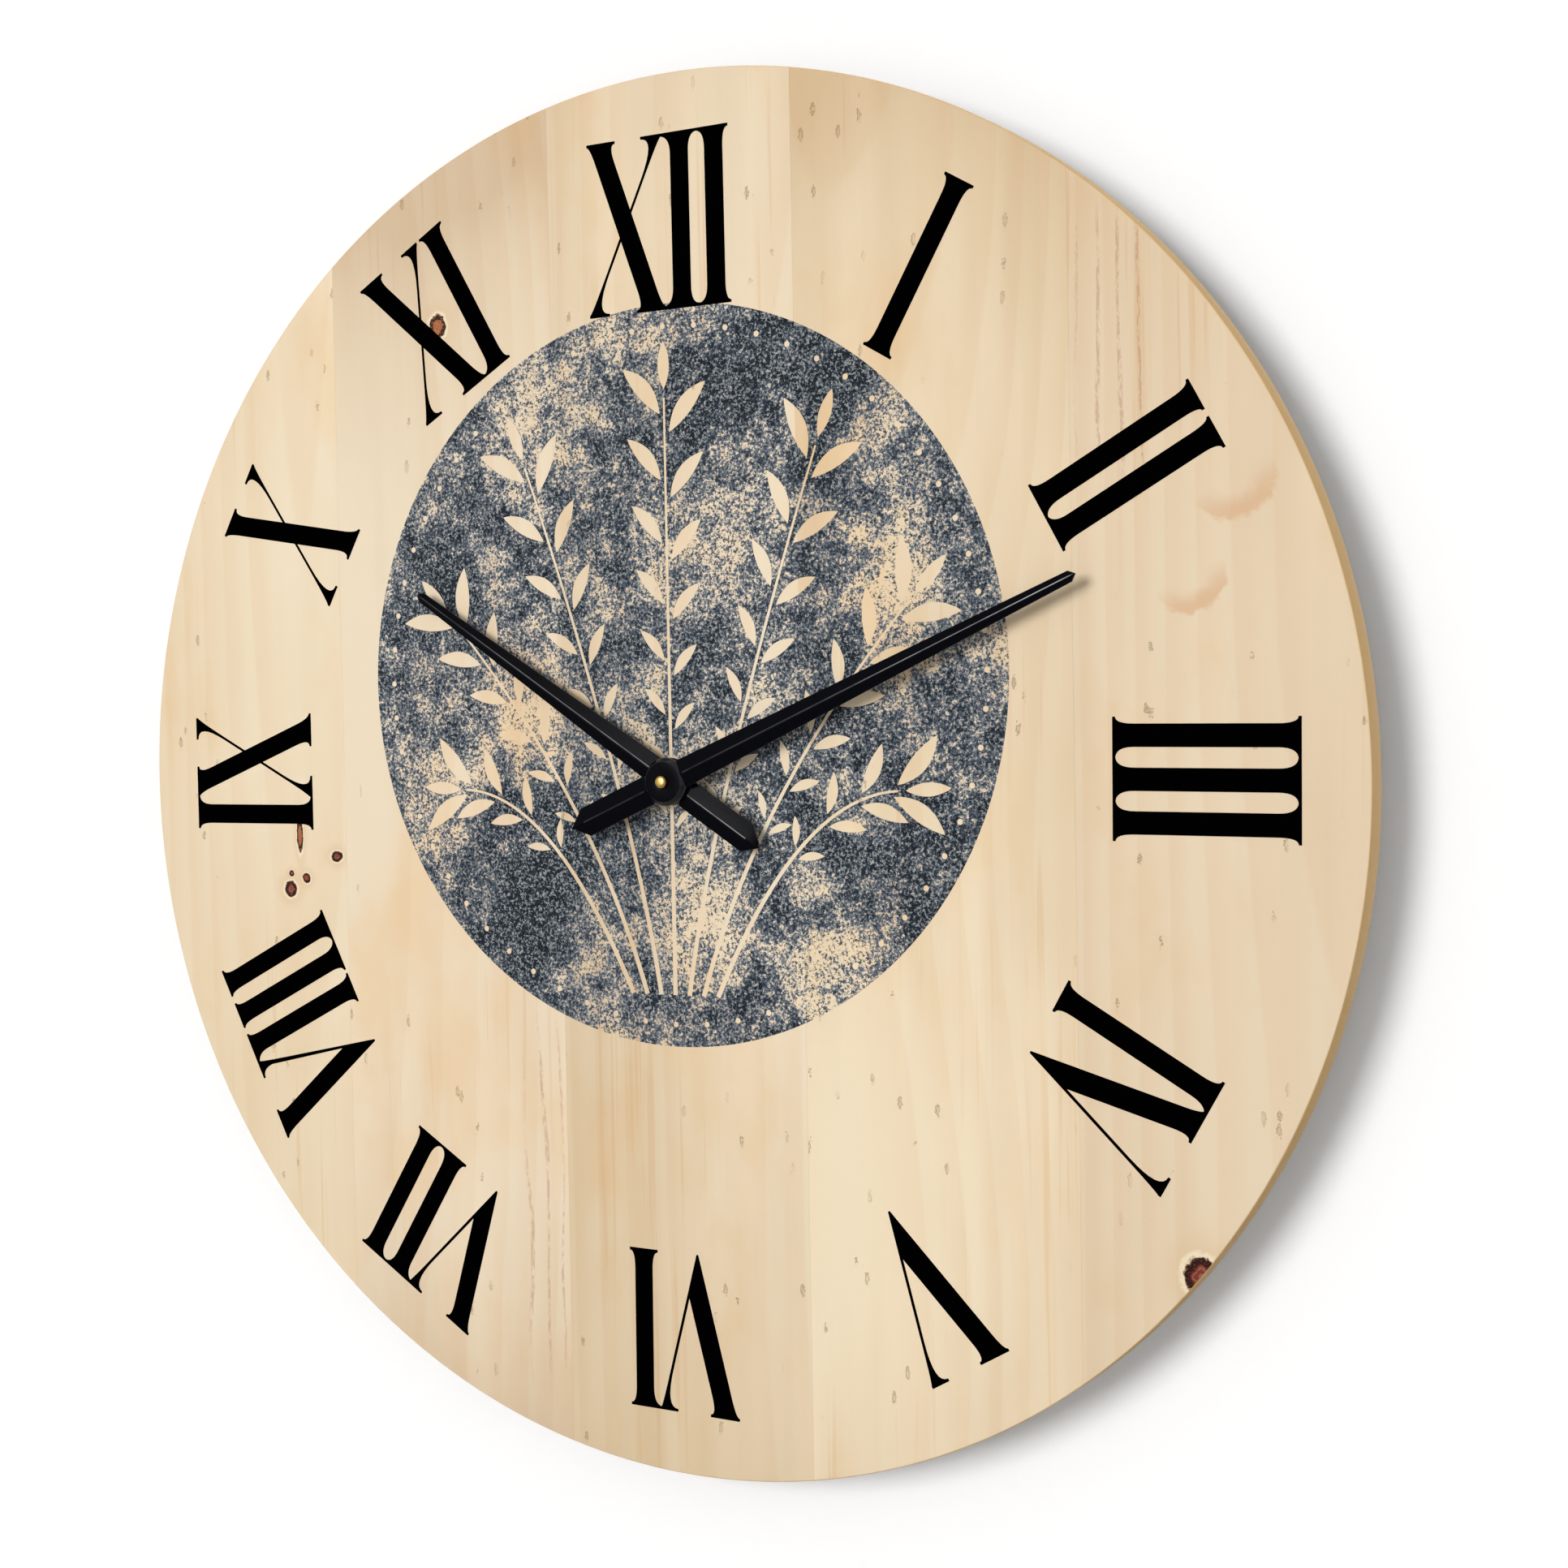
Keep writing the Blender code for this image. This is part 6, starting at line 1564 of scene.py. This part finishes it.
def turned_along_x(name, profile, sides, at):
    """Turns (radius, x) points about a line along X through at = (y, z): y = r cos a and z = r sin a."""
    radius, x = np.asarray(profile, float).T[:, :, None]
    angle = np.linspace(0, 2 * np.pi, sides, endpoint=False)[None, :]
    y, z = at[0] + radius * np.cos(angle), at[1] + radius * np.sin(angle)
    return shell(name, np.stack([x + 0 * angle, y, z], -1))


low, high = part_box("battery")
cell_radius, cell_at = (high.z - low.z) / 2, ((low.y + high.y) / 2, (low.z + high.z) / 2)
shoulder = low.x + 1.3 * MM
profile = [
    (0.0, low.x), (2.75 * MM, low.x), (2.75 * MM, shoulder - 0.1 * MM), (4.4 * MM, shoulder - 0.1 * MM),
    (4.7 * MM, shoulder + 0.35 * MM), (5.6 * MM, shoulder + 0.35 * MM), (5.9 * MM, shoulder),
    (cell_radius, shoulder), (cell_radius, high.x), (5.6 * MM, high.x), (5.3 * MM, high.x - 0.4 * MM),
    (4.6 * MM, high.x - 0.4 * MM), (4.3 * MM, high.x - 0.05 * MM), (0.0, high.x - 0.05 * MM),
]
ease = np.array([0, 0.4, 0.15, 0.1, 0.1, 0.1, 0.1, 0.5, 0.5, 0.1, 0.1, 0.1, 0.1, 0]) * MM
cell = turned_along_x("battery", eased(profile, ease, 4, closed=False), 96, cell_at)
jacket, sockets, place = new_material("cell_jacket")
surface = use_group(mould_group, {"Vector": place, "Scale": 1200.0})
axes = axes_of(place)
aside = (place - (0.0, cell_at[0], cell_at[1])) * (0.0, 1.0, 1.0)
radius = length_of(aside)
wrapped = span(radius, 5.9 * MM, 6.0 * MM)
band = span(axes[0], low.x + 15 * MM, low.x + 14.9 * MM)
colour = blend_of(band, srgb(38, 42, 50), srgb(176, 120, 66))
colour = blend_of(surface["Scuffs"] * 0.4, colour, srgb(90, 92, 96))
colour = blend_of(wrapped, srgb(196, 198, 200), colour)
bare_metal = maths("MAXIMUM", 1.0 - wrapped, band * 0.8)
gloss = span(surface["Scuffs"], 0.0, 1.0, 0.26, 0.4, smooth=False)
feed(sockets, Base_Color=colour, Metallic=bare_metal, Roughness=gloss)
bump(sockets, surface["Grain"], 0.005 * MM, 0.4)
finished(cell, "cell", jacket, ["battery"])
print("Battery", round((high.x - low.x) / MM, 1), "mm long")

# %% [markdown]
# What stays inside the case has the right shape already, so each CAD piece keeps its mesh and gets a finish.
# The coil shows its turns of enamelled wire as a wave along X, which raises each turn and also colours it
# light on top and dark between turns, as painted highlight and painted shade. The stator is punched from
# laminated iron, and the circuit board has copper tracks under green lacquer, which are the cells of a square
# Voronoi pattern.

# %% Finishes for the inner pieces
WIRE_PITCH = 0.12 * MM
winding, sockets, place = new_material("copper_wire", Metallic=1.0)
axes = axes_of(place)
wire_relief_and_painted_shade = maths("SINE", maths("FRACT", axes[0] / WIRE_PITCH) * math.pi)
# The wave colours each turn light on top and dark in the groove: painted highlight and painted shade.
feed(sockets, Base_Color=blend_of(wire_relief_and_painted_shade, srgb(120, 52, 26), srgb(206, 118, 70)))
feed(sockets, Roughness=span(noise(place, 600.0), 0.3, 0.7, 0.25, 0.42, smooth=False))
bump(sockets, wire_relief_and_painted_shade, 0.04 * MM, 0.8)

iron = metal("stator_iron", srgb(150, 150, 154), srgb(118, 118, 122), (0.32, 0.5), 0.02 * MM)

circuit, sockets, place = new_material("circuit_green")
surface = use_group(mould_group, {"Vector": place, "Scale": 1500.0})
squares = {"Vector": place, "Scale": 420.0, "Randomness": 0.75}
edges = add("TexVoronoi", squares, feature="DISTANCE_TO_EDGE")["Distance"]
track = span(edges, 0.12, 0.08)
colour = blend_of(track, srgb(38, 92, 52), srgb(96, 140, 74))
colour = blend_of(surface["Scuffs"] * 0.3, colour, srgb(120, 150, 120))
feed(sockets, Base_Color=colour)
feed(sockets, Roughness=span(surface["Grain"], 0.3, 0.7, 0.3, 0.45, smooth=False))
bump(sockets, track, 0.03 * MM, 0.6)

INNER_FINISHES = {
    brass: ["minute_arbor", "hour_wheel"],
    white_plastic: [
        "centre_wheel", "motion_wheel", "third_wheel", "seconds_wheel", "fifth_wheel", "rotor_pinion",
        "coil_bobbin",
    ],
    black_plastic: ["train_bridge"],
    zinc: ["positive_contact", "negative_contact", "quartz_crystal"],
    iron: ["stator"],
    winding: ["coil_winding"],
    circuit: ["circuit_board"],
    resin: ["clock_chip"],
    magnet_dark: ["rotor_magnet"],
}
for material, nodes in INNER_FINISHES.items():
    for node in nodes:
        bpy.data.objects[node].material_slots[0].material = material
gasket = ring("rubber_gasket", bushing_radius + BORE_FIT, 0.25 * MM)
finished(gasket, "dial", rubber, ["rubber_gasket"])
print(sum(len(nodes) for nodes in INNER_FINISHES.values()), "CAD pieces keep their mesh")

# %% [markdown]
# The clock hangs on a plain white wall, which is why it throws a soft shadow to the right and below. The wall
# is one-sided: Geometry's Backfacing makes it clear from behind, so the clock's back can be looked at. It
# gives no shadow or bounce of its own and isn't mirrored, so the metal on the clock's back reflects the
# bright room behind the wall. A pale floor lies well below. For the camera both are a little brighter than
# their lit colour, so that the picture's ground is white while the shadow stays.

# %% Wall and floor
STAGE_HALF = 4.0
WALL_GAP = 0.4 * MM
FLOOR_Z = -1.3
WALL_GLOW = 0.05
FLOOR_GLOW = 0.25


def sheet(name, outline, axis, level):
    """A flat rectangle. Its outline leaves out one axis, along which it lies at a level."""
    corners = np.insert(outline, axis, level, axis=1).tolist()
    mesh = bpy.data.meshes.new(name)
    mesh.from_pydata(corners, [], [(0, 1, 2, 3)])
    made = bpy.data.objects.new(name, mesh)
    scene.collection.objects.link(made)
    return made


def stage_finish(name, colour, glow, one_sided):
    """A matt ground with faint mottling, a little self-lit for the camera alone."""
    material, sockets, place = new_material(name, Roughness=0.9, Specular_IOR_Level=0.0)
    shade_of = blend_of(noise(place, 3.0), colour, tuple(0.99 * c for c in colour))
    feed(sockets, Base_Color=shade_of)
    tree = place.tree
    ray = add("LightPath", {}, tree)["Is Camera Ray"]
    sockets["Emission Color"].default_value = (1, 1, 1, 1)
    feed(sockets, Emission_Strength=ray * glow)
    if one_sided:
        shader = Outputs(tree.nodes["Principled BSDF"])[0]
        behind = add("NewGeometry", {}, tree)["Backfacing"]
        clear = add("BsdfTransparent", {}, tree)[0]
        mixed = add("MixShader", {0: behind, 1: shader, 2: clear})[0]
        feed(tree.nodes["Material Output"].inputs, Surface=mixed)
    return material


wall = sheet("wall", rectangle(-STAGE_HALF, STAGE_HALF, FLOOR_Z, STAGE_HALF), 1, WALL_GAP)
wall.data.materials.append(stage_finish("white_wall", (1.0, 1.0, 1.0, 1.0), WALL_GLOW, True))
wall.visible_shadow = False
wall.visible_diffuse = False
wall.visible_glossy = False
ground_sheet = sheet("floor", rectangle(-STAGE_HALF, STAGE_HALF, -STAGE_HALF, STAGE_HALF), 2, FLOOR_Z)
ground_sheet.data.materials.append(stage_finish("pale_floor", (0.9, 0.9, 0.9, 1.0), FLOOR_GLOW, False))
print("Wall faces", wall.data.polygons[0].normal[:])

# %% [markdown]
# One broad soft sun comes from the left, a little above, 21 degrees off the dial's axis, and an even white
# world in front fills the rest. Together they light a surface that faces front with a strength of one, at
# which a colour renders as it is written. What stands behind the wall lights the clock's back for a view from
# there: a key sun and one so broad that it works as a dome. The wall should stay dark in the clock's shadow,
# so neither counts for light that has bounced before, which Light Path's Ray Depth tells, and neither puts a
# highlight on the disc's rim. Glossy surfaces see the white ground too, but the room behind the camera is
# dimmer, so that the black hands stay black and only their bent edges catch the sun.

# %% Light
AMBIENT = 0.54
KEY_SHARE = 0.52
BACK_KEY_SHARE = 0.42
BACK_DOME_SHARE = 0.52
KEY_CLOCK_DEGREES, KEY_SLANT_DEGREES = 304, 21
NO_BOUNCE = 1.5
ROOM_DIM = 0.3


def sun(name, towards, share, facing, softness):
    """A sun that gives a share of full light to a surface with the normal facing: energy = pi share / cos."""
    light = bpy.data.lights.new(name, "SUN")
    direction = Vector(towards).normalized()
    light.energy = math.pi * share / direction.dot(Vector(facing))
    light.angle = math.radians(softness)
    made = bpy.data.objects.new(name, light)
    made.rotation_euler = direction.to_track_quat("Z", "Y").to_euler()
    scene.collection.objects.link(made)
    return made


def only_direct(lamp):
    """Switches a lamp off for reflections and for light paths that have bounced."""
    lamp.visible_glossy = False
    light = lamp.data
    light.cycles.use_multiple_importance_sampling = False
    light.use_nodes = True
    tree = light.node_tree
    depth = add("LightPath", {}, tree)["Ray Depth"]
    feed(tree.nodes["Emission"].inputs, Strength=maths("LESS_THAN", depth, NO_BOUNCE))


clock_angle = math.radians(KEY_CLOCK_DEGREES)
slant = math.radians(KEY_SLANT_DEGREES)
key = (math.sin(clock_angle) * math.sin(slant), -math.cos(slant), math.cos(clock_angle) * math.sin(slant))
sun("key", key, KEY_SHARE, (0, -1, 0), 26)
only_direct(sun("back_key", (-0.45, 0.8, 0.45), BACK_KEY_SHARE, (0, 1, 0), 30))
only_direct(sun("back_dome", (0.35, 1, 0.3), BACK_DOME_SHARE, (0, 1, 0), 150))

world = bpy.data.worlds.new("studio")
scene.world = world
world.use_nodes = True
tree = world.node_tree
backdrop = tree.nodes["Background"]
backdrop.inputs["Color"].default_value = (1, 1, 1, 1)
rays = add("LightPath", {}, tree)
direction = add("TexCoord", {}, tree)["Generated"]
in_front = maths("LESS_THAN", axes_of(direction)[1], 0.0)
room = 1.0 - in_front * (1.0 - ROOM_DIM)
seen = maths("MAXIMUM", rays["Is Camera Ray"], rays["Is Glossy Ray"] * room)
seen = maths("MAXIMUM", seen, rays["Is Transmission Ray"])
feed(backdrop.inputs, Strength=maths("MAXIMUM", seen, in_front * AMBIENT))
scene.view_settings.view_transform = "Standard"
print("Key", [round(c, 2) for c in key])
